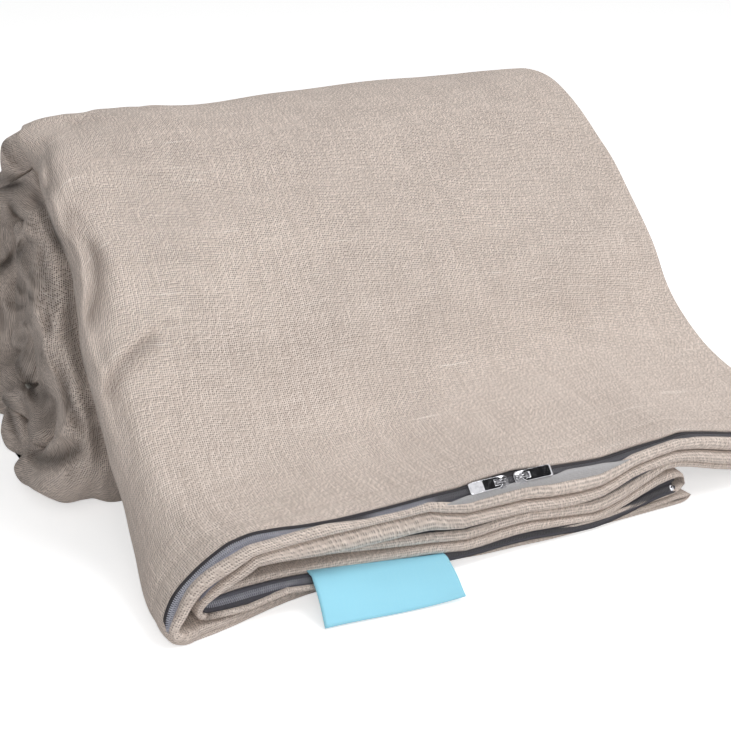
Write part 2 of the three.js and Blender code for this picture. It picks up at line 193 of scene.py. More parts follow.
class Panel(Enum):
    """Which face of a layer: the one that is outside when the blanket is folded, or inside."""

    TOP = 0
    BOTTOM = 1


class Stretch(Enum):
    """The stretches of the quarter fold, from the third layer's free end to the fourth's."""

    THIRD = 0
    INNER_LOOP = 1
    SECOND = 2
    RIGHT_FOLD = 3
    FIRST = 4
    OUTER_LOOP = 5
    FOURTH = 6


@dataclass(frozen=True)
class Columns:
    """Samples across the quarter fold.

    Args:
        stretch: The stretch that each sample lies on.
        share: How far along its stretch each sample lies, from 0 to 1.
    """

    stretch: np.ndarray
    share: np.ndarray

    def on(self, stretch: Stretch) -> np.ndarray:
        """Marks the samples that lie on a stretch."""
        return self.stretch == stretch.value

    def middle(self, stretch: Stretch) -> int:
        """Gives the index of the sample at the middle of a stretch."""
        found = np.flatnonzero(self.on(stretch))
        return int(found[len(found) // 2])


@dataclass(frozen=True)
class QuarterFold:
    """The stack of four layers, seen from the end."""

    width: float = 381.0
    thickness: float = 26.5
    gap: float = 0.5
    setback: float = 102.0
    step: float = 6.0
    loop_inset: float = 2.0
    end_round: float = 9.0
    fine: float = 4.0
    close: float = 1.5
    close_reach: float = 112.0
    coarse: float = 10.0

    @property
    def layer(self) -> float:
        """The thickness of one layer."""
        return (self.thickness - 3 * self.gap) / 4

    @property
    def middle(self) -> float:
        """Half the stack's thickness."""
        return self.thickness / 2

    def columns(self) -> Columns:
        """Places the samples, close together where the blanket shows most."""
        counts = {
            Stretch.THIRD: round((self.width - self.setback) / self.coarse),
            Stretch.INNER_LOOP: 12,
            Stretch.SECOND: round(self.width / self.coarse),
            Stretch.RIGHT_FOLD: 9,
            Stretch.FIRST: round((self.width - self.close_reach) / self.fine),
            Stretch.OUTER_LOOP: 38,
            Stretch.FOURTH: round((self.width - self.setback) / self.coarse),
        }
        stretch, share = [], []
        for part, count in counts.items():
            last = part is Stretch.FOURTH
            t = np.linspace(0.0, 1.0, count + 1)[: None if last else -1]
            if part is Stretch.THIRD:
                t = np.concatenate([[0.0, 0.004, 0.012, 0.022], t[1:]])
            if part is Stretch.FIRST:
                near = 1 - self.close_reach / self.width
                close_by = np.linspace(near, 1.0, round(self.close_reach / self.close), endpoint=False)
                t = np.concatenate([t * near, close_by])
            if part is Stretch.FOURTH:
                t = np.concatenate([t[:-1], [0.978, 0.988, 0.996, 1.0]])
            share.extend(t)
            stretch.extend([part.value] * len(t))
        return Columns(np.array(stretch), np.array(share))

    def opening(self, columns: Columns) -> np.ndarray:
        """Gives how far each layer is open, from 0 at the sewn free ends to 1."""
        t = columns.share
        ends = np.full(len(t), np.inf)
        third, fourth = columns.on(Stretch.THIRD), columns.on(Stretch.FOURTH)
        length = self.width - self.setback
        ends[third] = t[third] * length
        ends[fourth] = (1 - t[fourth]) * length
        closing = 1 - np.clip(ends / self.end_round, 0.0, 1.0)
        return np.sqrt(1 - closing**2)

    def flat(self, columns: Columns, depth: float) -> np.ndarray:
        """Gives the fold's line at a depth inside its layer.

        Args:
            columns: The samples across the fold.
            depth: From 0 on the layer's top panel to 1 on its bottom panel.

        Returns:
            One row for each sample: across from the left fold, and down from the top.
        """
        t = columns.share
        share = 0.5 + (depth - 0.5) * self.opening(columns)
        inside = share * self.layer
        pitch = self.layer + self.gap
        loop_centre = self.middle + self.loop_inset
        third_end = self.width - self.setback
        fourth_end = third_end + self.step
        fold_centre = self.layer + self.gap / 2
        right = self.width - fold_centre
        turn = np.pi / 2 - np.pi * t
        inner_radius = self.gap / 2 + inside
        outer_radius = self.middle - inside
        fold_radius = fold_centre - inside
        across = np.select(
            [columns.on(part) for part in Stretch],
            [
                mix(third_end, loop_centre, t),
                loop_centre - inner_radius * np.cos(turn),
                mix(loop_centre, right, t),
                right + fold_radius * np.cos(turn),
                mix(right, self.middle, t),
                self.middle - outer_radius * np.cos(turn),
                mix(self.middle, fourth_end, t),
            ],
        )
        down = np.select(
            [columns.on(part) for part in Stretch],
            [
                2 * pitch + inside,
                self.middle + inner_radius * np.sin(turn),
                pitch + self.layer - inside,
                fold_centre + fold_radius * np.sin(turn),
                inside,
                self.middle - outer_radius * np.sin(turn),
                3 * pitch + self.layer - inside,
            ],
        )
        return np.stack([across, down], 1)


@dataclass(frozen=True)
class Stations:
    """Samples along the blanket, from the foot edge to the roll's core.

    Args:
        outer: The first layer's top, as reach and height.
        inner: The fourth layer's underside, as reach and height.
        skew: How much the foot edge's slant is kept.
        drawn: How far the left fold is drawn in.
        along: The distance from the foot edge.
        travel: Degrees round the roll, 0 on the tail.
    """

    outer: np.ndarray
    inner: np.ndarray
    skew: np.ndarray
    drawn: np.ndarray
    along: np.ndarray
    travel: np.ndarray


@dataclass(frozen=True)
class RollPath:
    """The line that the stack follows: the flat hem, the tail and the roll."""

    radius: float = 106.0
    centre_height: float = 78.5
    centre_reach: float = 217.5
    turn_gap: float = 1.0
    thickness: float = 26.5
    foot_thickness: float = 43.0
    hem_depth: float = 20.5
    core_radius: float = 3.5
    lift_off: float = 135.0
    last_travel: float = 1035.0
    step: float = 3.0
    press: float = 0.85
    fullness: float = 0.25
    foot_skew: float = 0.13
    hem_skew: float = 0.66
    spacing: float = 2.0
    core_spacing: float = 2.5
    softness: float = 6.5
    hem_places: tuple[float, ...] = (0, 1.5, 3, 5, 7, 9, 10.4, 11.2, 12, 12.8, 13.8, 15.5, 18, 21)
    tail: tuple[tuple[float, ...], ...] = (
        (0.142, 0.24, 0.12, 0.25, 0.016),
        (0.216, 0.276, 0.42, 0.0, 0.023),
        (0.301, 0.372, 0.72, 0.0, 0.022),
        (0.366, 0.5, 0.9, 0.0, 0.013),
        (0.46, 0.63, 1.0, 0.0, 0.012),
        (0.564, 0.751, 1.0, 0.0, 0.01),
    )
    width: float = 381.0

    def turn_radius(self, travel: float) -> float:
        """Gives the roll's outside radius at an angle of travel, pressed flat at the bottom."""
        pitch = self.thickness + self.turn_gap
        angle = math.radians(self.lift_off - travel)
        plain = self.radius - pitch * max(0.0, travel - (self.lift_off - 90)) / 360
        below = math.sin(angle)
        if below >= 0:
            return max(plain, self.core_radius)
        full = 1 + self.fullness * math.sin(2 * angle) ** 2
        seat = math.floor((travel - self.lift_off) / 360) * pitch * self.press
        pressed = (self.centre_height - seat) / -below
        return max(min(plain * full, pressed), self.core_radius)

    def on_roll(self, travel: float) -> tuple[np.ndarray, np.ndarray]:
        """Gives the outer and inner point of the stack at an angle of travel."""
        angle = math.radians(self.lift_off - travel)
        ray = np.array([math.cos(angle), math.sin(angle)])
        centre = np.array([self.centre_reach, self.centre_height])
        outer = centre + ray * self.turn_radius(travel)
        inner = centre + ray * (self.turn_radius(travel + 360) + self.turn_gap)
        return outer, inner

    def stations(self) -> Stations:
        """Draws the whole line and samples it evenly.

        Returns:
            The samples along the blanket.
        """
        top = self.radius + self.centre_height
        outer = [np.array([0.0, self.foot_thickness]), np.array([self.hem_depth, self.foot_thickness])]
        outer += [np.array([row[0] * self.centre_reach, row[1] * top]) for row in self.tail]
        ahead, _ = self.on_roll(0.0)
        inner = [np.array([0.0, 0.0]), np.array([self.hem_depth, 0.0])]
        for index, row in enumerate(self.tail, start=2):
            after = outer[index + 1] if index + 1 < len(outer) else ahead
            sides = []
            for a, b in ((outer[index - 1], outer[index]), (outer[index], after)):
                along = (b - a) / np.linalg.norm(b - a)
                sides.append(np.array([-along[1], along[0]]))
            across = sides[0] + sides[1]
            across /= np.linalg.norm(across)
            thick = mix(self.foot_thickness, self.thickness, row[2])
            inner.append(outer[index] - across * thick)
        extra = [np.array([self.foot_skew, 0.0]), np.array([self.hem_skew * self.foot_skew, 0.0])]
        extra += [np.array([row[3] * self.foot_skew, row[4] * self.width]) for row in self.tail]
        extra.append(np.zeros(2))
        around = [self.on_roll(t) for t in np.arange(0.0, self.last_travel + 0.1, self.step)]
        outer.append(around[0][0])
        inner.append(around[0][1])
        rows = through(np.hstack([outer, inner, extra]), 12)
        travel = np.zeros(len(rows))
        later = np.array([np.concatenate([o, i, [0.0, 0.0]]) for o, i in around[1:]])
        rows = np.vstack([rows, later])
        travel = np.concatenate([travel, np.arange(self.step, self.last_travel + 0.1, self.step)])
        length = lengths_along(rows[:, :2])
        even = np.arange(0.0, length[-1], 1.0)
        rows = np.stack([np.interp(even, length, rows[:, k]) for k in range(6)], 1)
        travel = np.interp(even, length, travel)
        rows = soften(rows, self.softness)
        shift = np.diff(np.concatenate([[0.0], lengths_along(rows[:, :2])]))
        along = np.cumsum(shift)
        first = np.arange(24.0, along[-1] * 0.62, self.spacing)
        rest = np.arange(first[-1] + self.core_spacing, along[-1], self.core_spacing)
        at = np.concatenate([self.hem_places, first, rest])
        rows = np.stack([np.interp(at, along, rows[:, k]) for k in range(6)], 1)
        travel = np.interp(at, along, travel)
        return Stations(rows[:, :2], rows[:, 2:4], rows[:, 4], rows[:, 5], at, travel)


@dataclass(frozen=True)
class EdgePlane:
    """The upright plane that the zipped foot edge lies in."""

    x: float = -191.563
    y: float = -128.645
    slope: float = 0.13

    def y_at(self, x: np.ndarray, front: np.ndarray) -> np.ndarray:
        """Gives the place along Y at some places along X, some way in front of the plane."""
        return self.y - self.slope * (x - self.x) - front


@dataclass(frozen=True)
class FootEdge:
    """How the four layers lie at the zipped foot edge, as heights over places along X."""

    first_top: tuple = (
        (189, 27), (170, 28), (150, 30), (123, 33.4), (103, 38.3), (87, 41.5), (75, 40),
        (57, 39.5), (36, 38.3), (7, 41), (-15, 44), (-37, 42.5), (-46, 41.3), (-65, 42),
        (-77, 41.5), (-95, 41), (-115, 41), (-129, 40.3), (-139, 41), (-149, 41.2), (-159, 38.7),
    )
    first_under: tuple = (
        (189, 14.5), (170, 15.5), (150, 18), (116, 24.9), (94, 31), (80, 33.5), (69, 32.5),
        (54, 30.5), (45, 27), (34, 23.5), (22, 23), (4, 24.5), (-11, 27), (-30, 27.5),
        (-43, 27.8), (-54, 31), (-64, 34.5), (-90, 35.2), (-114, 35.2), (-130, 35),
        (-140, 34.8), (-147, 34.5), (-150, 34),
    )
    second_under: tuple = (
        (189, 1.5), (170, 2), (150, 4.5), (123, 11), (107, 15.5), (86, 22.5), (74, 23),
        (60, 17), (45, 11), (33, 8.5), (16, 11), (-10, 14.5), (-26, 14), (-40, 12.3),
        (-61, 15.5), (-90, 18), (-115, 21), (-129, 23.5), (-140, 24.8), (-150, 24), (-160, 20.5),
    )
    third_top: tuple = (
        (92, 20.5), (86, 21), (74, 20.5), (60, 16), (45, 10.6), (33, 8), (16, 10.4),
        (-10, 13.8), (-26, 13.3), (-40, 11.7), (-61, 14.8), (-90, 16.5), (-115, 17.5),
        (-129, 18.5), (-144, 19), (-155, 18.6), (-165, 16.8),
    )
    third_under: tuple = (
        (92, 9), (85, 8.5), (71, 7), (51, 4.8), (39, 3.8), (23, 3.2), (9, 3.2), (-15, 4.5),
        (-29, 4), (-45, 4.2), (-61, 5), (-90, 6), (-110, 7.5), (-123, 9), (-130, 10.4),
        (-135, 10.6), (-141, 9.6), (-146, 8.2), (-153, 7.2), (-166, 7.2), (-172, 7.6),
    )
    fourth_top: tuple = (
        (98, 6.5), (85, 6.4), (71, 5.4), (51, 4), (39, 3.2), (23, 2.7), (9, 2.7), (-15, 3.8),
        (-29, 3.4), (-45, 3.6), (-61, 4.4), (-90, 5), (-110, 5.2), (-130, 5.5), (-146, 5.8),
        (-166, 6), (-176, 6),
    )
    outer_loop_top: tuple = (
        (-159, 38.7, 1), (-165, 35.4, 1), (-171, 31.7, 1.2), (-176, 27.9, 1.5), (-181, 23.6, 1.8),
        (-185, 19.4, 2.5), (-188, 14.8, 3.5), (-190, 11.5, 5), (-190.6, 8.4, 6.5), (-190.4, 5.2, 8.5),
        (-188.6, 2.2, 10), (-184.5, 0.5, 11), (-179, 0.1, 11),
    )
    outer_loop_under: tuple = (
        (-150, 34, 9.5), (-154, 31.8, 9.4), (-158.5, 29.2, 9.2), (-164, 26.8, 9.2), (-168.5, 24.8, 9.2),
        (-173.4, 21.8, 9.2), (-177.6, 17.4, 9.3), (-180.8, 12.8, 9.6), (-184, 8.9, 10), (-185, 6.6, 10.4),
        (-182.8, 5.2, 11), (-179, 5.3, 11), (-176, 5.8, 11),
    )
    inner_loop_top: tuple = (
        (-165, 16.8, 1), (-168.5, 15.6, 0.5), (-171, 14.8, 0), (-172, 14.9, 0), (-171.2, 15.8, 0),
        (-168.5, 17, 0), (-160, 20.5, 0),
    )
    inner_loop_under: tuple = (
        (-172, 7.6, 8), (-174.6, 8.4, 8), (-176.4, 10.4, 8), (-176.2, 13.4, 8), (-173.6, 17.6, 8.4),
        (-169, 21.2, 9), (-163, 24.8, 9), (-156, 28.6, 9), (-149, 33.2, 9.5),
    )
    front_of_top: dict[Stretch, tuple] = field(
        default_factory=lambda: {
            Stretch.THIRD: ((92, 8), (50, 9), (0, 10), (-61, 9), (-100, 4), (-120, 2), (-165, 1)),
            Stretch.SECOND: (
                (189, 6), (123, 7), (86, 8), (60, 9), (33, 9.5), (0, 9), (-61, 8),
                (-80, 5), (-115, 1), (-140, 0),
            ),
            Stretch.RIGHT_FOLD: ((182, 6), (190, 4)),
            Stretch.FIRST: (
                (189, 1.5), (60, 1.5), (30, 2.5), (-50, 2.5), (-70, 4), (-115, 4), (-132, 2), (-160, 1),
            ),
            Stretch.FOURTH: (
                (-179, 11), (-167, 9), (-156, 7), (-148, 4), (-140, 1), (-125, -2), (-60, -1),
                (-45, 4), (-24, 6), (0, 7), (40, 8), (98, 8),
            ),
        }
    )
    front_of_bottom: dict[Stretch, tuple] = field(
        default_factory=lambda: {
            Stretch.THIRD: ((92, 10), (60, 9), (0, 8), (-30, 7), (-61, 7), (-120, 9), (-150, 9), (-172, 8)),
            Stretch.SECOND: ((189, 10), (-150, 10)),
            Stretch.RIGHT_FOLD: ((170, 9), (190, 9)),
            Stretch.FIRST: ((189, 9.5), (-150, 9.5)),
            Stretch.FOURTH: (
                (-176, 11), (-156, 8), (-140, 2), (-125, -1), (-60, 0), (-45, 5), (-24, 7),
                (0, 8), (98, 9),
            ),
        }
    )
    top_hem: dict[Stretch, tuple] = field(
        default_factory=lambda: {
            Stretch.THIRD: ((92, 4.5), (60, 4.6), (33, 2.8), (0, 4.6), (-29, 5), (-61, 4.4), (-165, 4.6)),
            Stretch.INNER_LOOP: ((-172, 3), (-160, 3)),
            Stretch.SECOND: ((189, 4.5), (86, 4), (45, 7), (33, 8), (16, 5.6), (-61, 5.5), (-115, 4)),
            Stretch.RIGHT_FOLD: ((182, 4), (190, 3)),
            Stretch.FIRST: ((189, 2.2), (-160, 2.2)),
            Stretch.OUTER_LOOP: ((-159, 2.2), (-179, 2.2)),
            Stretch.FOURTH: ((-179, 2.4), (98, 2.4)),
        }
    )
    bottom_hem: dict[Stretch, tuple] = field(
        default_factory=lambda: {
            Stretch.THIRD: ((92, 3), (-61, 2.6), (-172, 2.8)),
            Stretch.INNER_LOOP: ((-178, 3), (-149, 5)),
            Stretch.SECOND: (
                (189, 7), (117, 7.6), (95, 7), (69, 4.8), (46, 4.6), (22, 5.6), (0, 6), (-43, 6.2),
                (-55, 9), (-64, 11), (-115, 11), (-129, 8), (-140, 5),
            ),
            Stretch.RIGHT_FOLD: ((170, 5), (190, 4)),
            Stretch.FIRST: (
                (189, 7), (116, 7.4), (94, 6.6), (80, 5.6), (60, 6), (45, 7), (22, 8.6), (0, 8.4),
                (-43, 7.0), (-54, 5.8), (-64, 4.8), (-77, 3.7), (-95, 3.6), (-115, 5.8), (-130, 5.4),
                (-140, 4.8), (-150, 5.2),
            ),
            Stretch.OUTER_LOOP: ((-150, 5.2), (-158, 6.8), (-166, 6.8), (-174, 6.0), (-184, 4.6)),
            Stretch.FOURTH: ((-176, 3.4), (98, 2.6)),
        }
    )

    @property
    def hems(self) -> dict[Panel, dict[Stretch, tuple]]:
        """The hems' thicknesses by panel."""
        return {Panel.TOP: self.top_hem, Panel.BOTTOM: self.bottom_hem}

    def line(self, columns: Columns, panel: Panel, straight_x: np.ndarray) -> np.ndarray:
        """Gives a panel's line along the foot edge.

        Args:
            columns: The samples across the fold.
            panel: The layer's face.
            straight_x: The plain fold's place along X for each sample.

        Returns:
            One row for each sample: place along X, height, and how far forward it lies.
        """
        top = panel is Panel.TOP
        fronts = self.front_of_top if top else self.front_of_bottom
        heights = {
            Stretch.THIRD: self.third_top if top else self.third_under,
            Stretch.SECOND: self.second_under if top else None,
            Stretch.FIRST: self.first_top if top else self.first_under,
            Stretch.FOURTH: None if top else self.fourth_top,
        }
        loops = {
            Stretch.OUTER_LOOP: self.outer_loop_top if top else self.outer_loop_under,
            Stretch.INNER_LOOP: self.inner_loop_top if top else self.inner_loop_under,
        }
        ends = {
            Stretch.THIRD: (None, loops[Stretch.INNER_LOOP][0][0]),
            Stretch.SECOND: (loops[Stretch.INNER_LOOP][-1][0], None),
            Stretch.FIRST: (None, loops[Stretch.OUTER_LOOP][0][0]),
            Stretch.FOURTH: (loops[Stretch.OUTER_LOOP][-1][0], None),
        }
        x = straight_x.copy()
        z = np.zeros(len(x))
        front = np.zeros(len(x))
        for part, (start, end) in ends.items():
            on = columns.on(part)
            low, high = x[on][0], x[on][-1]
            share = (x[on] - low) / (high - low)
            x[on] = mix(low if start is None else start, high if end is None else end, share)
            if part is Stretch.SECOND and not top:
                z[on] = table(self.first_under, x[on]) - 0.6
            elif part is Stretch.FOURTH and top:
                z[on] = 0.1
            else:
                z[on] = table(heights[part], x[on])
            front[on] = table(fronts[part], x[on])
        for part, rows in loops.items():
            on = columns.on(part)
            curve = through(rows, 8)
            at = columns.share[on] * lengths_along(curve)[-1]
            x[on], z[on], front[on] = resample(curve, at).T
        on = columns.on(Stretch.RIGHT_FOLD)
        above = self.first_top[0][1] if top else self.first_under[0][1]
        below = self.second_under[0][1] if top else self.first_under[0][1] - 0.6
        z[on] = mix(below, above, 0.5 - 0.5 * np.cos(np.pi * columns.share[on]))
        front[on] = table(fronts[Stretch.RIGHT_FOLD], x[on])
        return np.stack([x, z, soften(front[:, None], 1.5)[:, 0]], 1)

    def read(self, sizes: dict[Stretch, tuple], columns: Columns, x: np.ndarray) -> np.ndarray:
        """Reads a size that is given for each stretch.

        Args:
            sizes: A table for each stretch.
            columns: The samples across the fold.
            x: Their places along X.

        Returns:
            The size at each sample.
        """
        on = [columns.on(part) for part in Stretch]
        values = np.select(on, [table(sizes[part], x) for part in Stretch])
        return soften(values[:, None], 1.5)[:, 0]


@dataclass(frozen=True)
class Camera:
    """The camera that the photograph's angle gives."""

    place: tuple[float, float, float] = (-341.3, -523.4, 307.7)
    pitch: float = 23.346
    heading: float = 56.8
    focal_pixels: float = 1148.0
    frame_pixels: float = 731.0
    sensor: float = 36.0

    def axes(self) -> tuple[np.ndarray, np.ndarray, np.ndarray]:
        """Gives the directions ahead, to the right and up in the picture."""
        pitch, heading = math.radians(self.pitch), math.radians(self.heading)
        level = np.array([math.cos(heading), math.sin(heading), 0.0])
        right = np.array([math.sin(heading), -math.cos(heading), 0.0])
        ahead = level * math.cos(pitch) - np.array([0.0, 0.0, math.sin(pitch)])
        up = level * math.sin(pitch) + np.array([0.0, 0.0, math.cos(pitch)])
        return ahead, right, up

    def pixels(self, points: np.ndarray) -> np.ndarray:
        """Gives where points fall in the picture, in pixels from its upper left corner."""
        ahead, right, up = self.axes()
        d = points - np.array(self.place)
        depth = d @ ahead
        middle = self.frame_pixels / 2
        u = middle + self.focal_pixels * (d @ right) / depth
        v = middle - self.focal_pixels * (d @ up) / depth
        return np.stack([u, v], -1)

    def ray(self, pixel: tuple[float, float]) -> np.ndarray:
        """Gives the direction that a pixel looks in."""
        ahead, right, up = self.axes()
        middle = self.frame_pixels / 2
        u = (pixel[0] - middle) / self.focal_pixels
        v = (middle - pixel[1]) / self.focal_pixels
        return ahead + right * u + up * v

    def build(self) -> bpy.types.Object:
        """Makes the camera and sets it as the scene's."""
        data = bpy.data.cameras.new("photo_angle")
        data.sensor_width = self.sensor
        data.lens = self.focal_pixels / self.frame_pixels * self.sensor
        data.clip_start = 0.01
        data.clip_end = 20.0
        camera = bpy.data.objects.new("photo_angle", data)
        camera.location = Vector(self.place) * MM
        camera.rotation_euler = (math.radians(90 - self.pitch), 0.0, math.radians(self.heading - 90))
        bpy.context.scene.collection.objects.link(camera)
        bpy.context.scene.camera = camera
        return camera


# Meshes


def make_object(name: str, points: np.ndarray, faces: Sequence[Sequence[int]]) -> bpy.types.Object:
    """Makes a smooth mesh object from points in millimetres.

    Args:
        name: The object's name.
        points: One point a row.
        faces: Indices into the points, one face a row.

    Returns:
        The new object, linked to the scene.
    """
    mesh = bpy.data.meshes.new(name)
    mesh.from_pydata((np.asarray(points) * MM).tolist(), [], [tuple(map(int, f)) for f in faces])
    mesh.polygons.foreach_set("use_smooth", [True] * len(mesh.polygons))
    mesh.update()
    thing = bpy.data.objects.new(name, mesh)
    bpy.context.scene.collection.objects.link(thing)
    return thing


def grid_faces(rows: int, columns: int, turned: bool = False) -> np.ndarray:
    """Lists the faces of a grid of points.

    Args:
        rows: How many rows of points there are.
        columns: How many points each row has.
        turned: Whether the faces look the other way.

    Returns:
        Four indices a face.
    """
    r, c = np.meshgrid(np.arange(rows - 1), np.arange(columns - 1), indexing="ij")
    a = (r * columns + c).ravel()
    quads = np.stack([a, a + 1, a + columns + 1, a + columns], 1)
    return quads[:, ::-1] if turned else quads


def lay_uv(thing: bpy.types.Object, flat: np.ndarray) -> None:
    """Gives a mesh its unrolled coordinates, in metres.

    Args:
        thing: The mesh object.
        flat: For each point, its place across and along the flat cloth, in millimetres.
    """
    layer = thing.data.uv_layers.new(name="flat")
    corners = np.empty(len(thing.data.loops), dtype=np.int32)
    thing.data.loops.foreach_get("vertex_index", corners)
    layer.data.foreach_set("uv", (flat[corners] * MM).astype(np.float32).ravel())


def lay_shade(thing: bpy.types.Object, shade: np.ndarray) -> None:
    """Stores how deep in shade each point lies, from 0 to 1, as painted shade in the cloth's colour."""
    layer = thing.data.attributes.new("fold_shade", "FLOAT", "POINT")
    layer.data.foreach_set("value", shade.ravel().astype(np.float32))


def ribbon(name: str, rows: Sequence[np.ndarray], flat_across: Sequence[float]) -> bpy.types.Object:
    """Makes an open strip from lines that run along it.

    Args:
        name: The object's name.
        rows: The lines, each with the same number of points.
        flat_across: Each line's place across the flat strip, in millimetres.

    Returns:
        The new object, with its unrolled coordinates.
    """
    points = np.concatenate(rows)
    along = lengths_along(rows[len(rows) // 2])
    thing = make_object(name, points, grid_faces(len(rows), len(rows[0])))
    across = np.repeat(np.array(flat_across, float), len(along))
    lay_uv(thing, np.stack([np.tile(along, len(rows)), across], 1))
    return thing


def thicken(thing: bpy.types.Object, thickness: float, offset: float = 0.0) -> None:
    """Gives an open strip its thickness.

    Args:
        thing: The strip.
        thickness: In millimetres.
        offset: From -1 on one side to 1 on the other.
    """
    change = thing.modifiers.new("thickness", "SOLIDIFY")
    change.thickness = thickness * MM
    change.offset = offset


def skin(rings: int, count: int, base: int = 0) -> list[list[int]]:
    """Lists the faces of a closed skin over rings of points.

    Args:
        rings: How many rings there are.
        count: How many points each ring has.
        base: The first point's index.

    Returns:
        The faces along the rings, and then both ends.
    """
    faces = []
    for k in range(rings - 1):
        for j in range(count):
            a, b = base + k * count + j, base + k * count + (j + 1) % count
            faces.append([a, b, b + count, a + count])
    last = base + (rings - 1) * count
    faces.append([base + j for j in range(count - 1, -1, -1)])
    faces.append([last + j for j in range(count)])
    return faces


class Ripples:
    """Smooth, seeded wandering of points in space."""

    def __init__(self, wavelength: float, seed: int, waves: int = 26) -> None:
        """Draws the waves.

        Args:
            wavelength: Their usual length, in millimetres.
            seed: What the waves are drawn from.
            waves: How many there are.
        """
        draw = np.random.default_rng(seed)
        heading = unit(draw.normal(size=(3, waves, 3)))
        number = 2 * np.pi / (wavelength * draw.uniform(0.72, 1.5, size=(3, waves, 1)))
        self.waves = heading * number
        self.phase = draw.uniform(0, 2 * np.pi, size=(3, waves))
        self.scale = math.sqrt(2.0 / waves)

    def one(self, points: np.ndarray, axis: int = 0) -> np.ndarray:
        """Gives one wandering number for each point, mostly within -2 to 2."""
        return self.scale * np.sin(points @ self.waves[axis].T + self.phase[axis]).sum(-1)

    def all(self, points: np.ndarray) -> np.ndarray:
        """Gives a wandering vector for each point."""
        return np.stack([self.one(points, axis) for axis in range(3)], -1)


# Finishes


Socket = bpy.types.NodeSocket
# Painted shade: the colour that folds, creases and shaded recesses are darkened towards, and the largest
# share of it.
FOLD_SHADE_COLOUR = (0.022, 0.017, 0.014, 1.0)
FOLD_SHADE_SHARE = 0.92


@dataclass
class Graph:
    """Adds nodes to a tree in few words."""

    tree: bpy.types.NodeTree

    def node(self, kind: str, **settings: object) -> bpy.types.Node:
        """Adds a node and sets its settings."""
        made = self.tree.nodes.new(kind)
        for name, value in settings.items():
            setattr(made, name, value)
        return made

    def join(self, source: Socket | float | tuple, target: Socket) -> None:
        """Links a socket to another, or sets a plain value on it."""
        if isinstance(source, bpy.types.NodeSocket):
            self.tree.links.new(source, target)
        else:
            target.default_value = source

    def fill(self, node: bpy.types.Node, **values: Socket | float | tuple) -> bpy.types.Node:
        """Links or sets a node's inputs, named with _ for a space, and gives the node back."""
        for name, value in values.items():
            self.join(value, node.inputs[name.replace("_", " ")])
        return node

    def maths(self, operation: str, a: Socket | float, b: Socket | float = 0.0) -> Socket:
        """Adds a math node and gives its result."""
        made = self.node("ShaderNodeMath", operation=operation)
        self.join(a, made.inputs[0])
        self.join(b, made.inputs[1])
        return made.outputs[0]

    def times(self, a: Socket | float, b: Socket | float) -> Socket:
        """Multiplies two values."""
        return self.maths("MULTIPLY", a, b)

    def plus(self, a: Socket | float, b: Socket | float) -> Socket:
        """Adds two values."""
        return self.maths("ADD", a, b)

    def less(self, a: Socket | float, b: Socket | float) -> Socket:
        """Takes the second value from the first."""
        return self.maths("SUBTRACT", a, b)

    def vectors(self, operation: str, a: Socket | tuple, b: Socket | tuple = (0, 0, 0)) -> Socket:
        """Adds a vector math node and gives its result."""
        made = self.node("ShaderNodeVectorMath", operation=operation)
        self.join(a, made.inputs[0])
        self.join(b, made.inputs[1])
        return made.outputs[0]

    def noise(self, vector: Socket, scale: float, detail: float = 2.0, rough: float = 0.5) -> Socket:
        """Adds a noise texture and gives its value."""
        made = self.node("ShaderNodeTexNoise")
        return self.fill(made, Vector=vector, Scale=scale, Detail=detail, Roughness=rough).outputs["Fac"]

    def spread(
        self, value: Socket, low: float, high: float, to_low: float = 0.0, to_high: float = 1.0
    ) -> Socket:
        """Maps a range of values to another, smoothly."""
        made = self.node("ShaderNodeMapRange", interpolation_type="SMOOTHSTEP")
        self.fill(made, Value=value, From_Min=low, From_Max=high, To_Min=to_low, To_Max=to_high)
        return made.outputs["Result"]

    def blend(self, share: Socket | float, a: Socket | tuple, b: Socket | tuple, how: str = "MIX") -> Socket:
        """Mixes two colours and gives the result."""
        made = self.node("ShaderNodeMix", data_type="RGBA", blend_type=how)
        self.join(share, made.inputs[0])
        self.join(a, made.inputs[6])
        self.join(b, made.inputs[7])
        return made.outputs[2]

    def combine(self, x: Socket | float, y: Socket | float, z: Socket | float = 0.0) -> Socket:
        """Puts three numbers together as a vector."""
        made = self.node("ShaderNodeCombineXYZ")
        for source, target in zip((x, y, z), made.inputs):
            self.join(source, target)
        return made.outputs[0]

    def split(self, vector: Socket) -> tuple[Socket, Socket, Socket]:
        """Gives a vector's three numbers."""
        made = self.node("ShaderNodeSeparateXYZ")
        self.join(vector, made.inputs[0])
        return made.outputs[0], made.outputs[1], made.outputs[2]

    def bump(self, height: Socket, strength: float, distance: float) -> Socket:
        """Adds a bump node, with its distance in millimetres, and gives its normal."""
        made = self.node("ShaderNodeBump")
        return self.fill(made, Strength=strength, Distance=distance * MM, Height=height).outputs[0]

    def in_folds(self, plain: Socket) -> Socket:
        """Darkens a colour by the shade that is painted deep in the folds."""
        fold = self.node("ShaderNodeAttribute", attribute_name="fold_shade").outputs["Fac"]
        return self.blend(self.times(fold, FOLD_SHADE_SHARE), plain, FOLD_SHADE_COLOUR)

    def shown(self) -> Socket:
        """Gives 1 to the rays that see the background as white and 0 to any other."""
        rays = self.node("ShaderNodeLightPath")
        seen = self.maths("MAXIMUM", rays.outputs["Is Camera Ray"], rays.outputs["Is Transmission Ray"])
        return self.maths("MAXIMUM", seen, rays.outputs["Is Glossy Ray"])


def new_material(name: str) -> tuple[bpy.types.Material, Graph, bpy.types.Node]:
    """Starts a material and gives it with its graph and its shader."""
    material = bpy.data.materials.new(name)
    material.use_nodes = True
    return material, Graph(material.node_tree), material.node_tree.nodes["Principled BSDF"]


def colour(red: float, green: float, blue: float) -> tuple[float, float, float, float]:
    """Gives a shader colour from the 0 to 255 numbers that a screen shows."""
    plain = [v / 255 for v in (red, green, blue)]
    return tuple(v / 12.92 if v <= 0.04045 else ((v + 0.055) / 1.055) ** 2.4 for v in plain) + (1.0,)


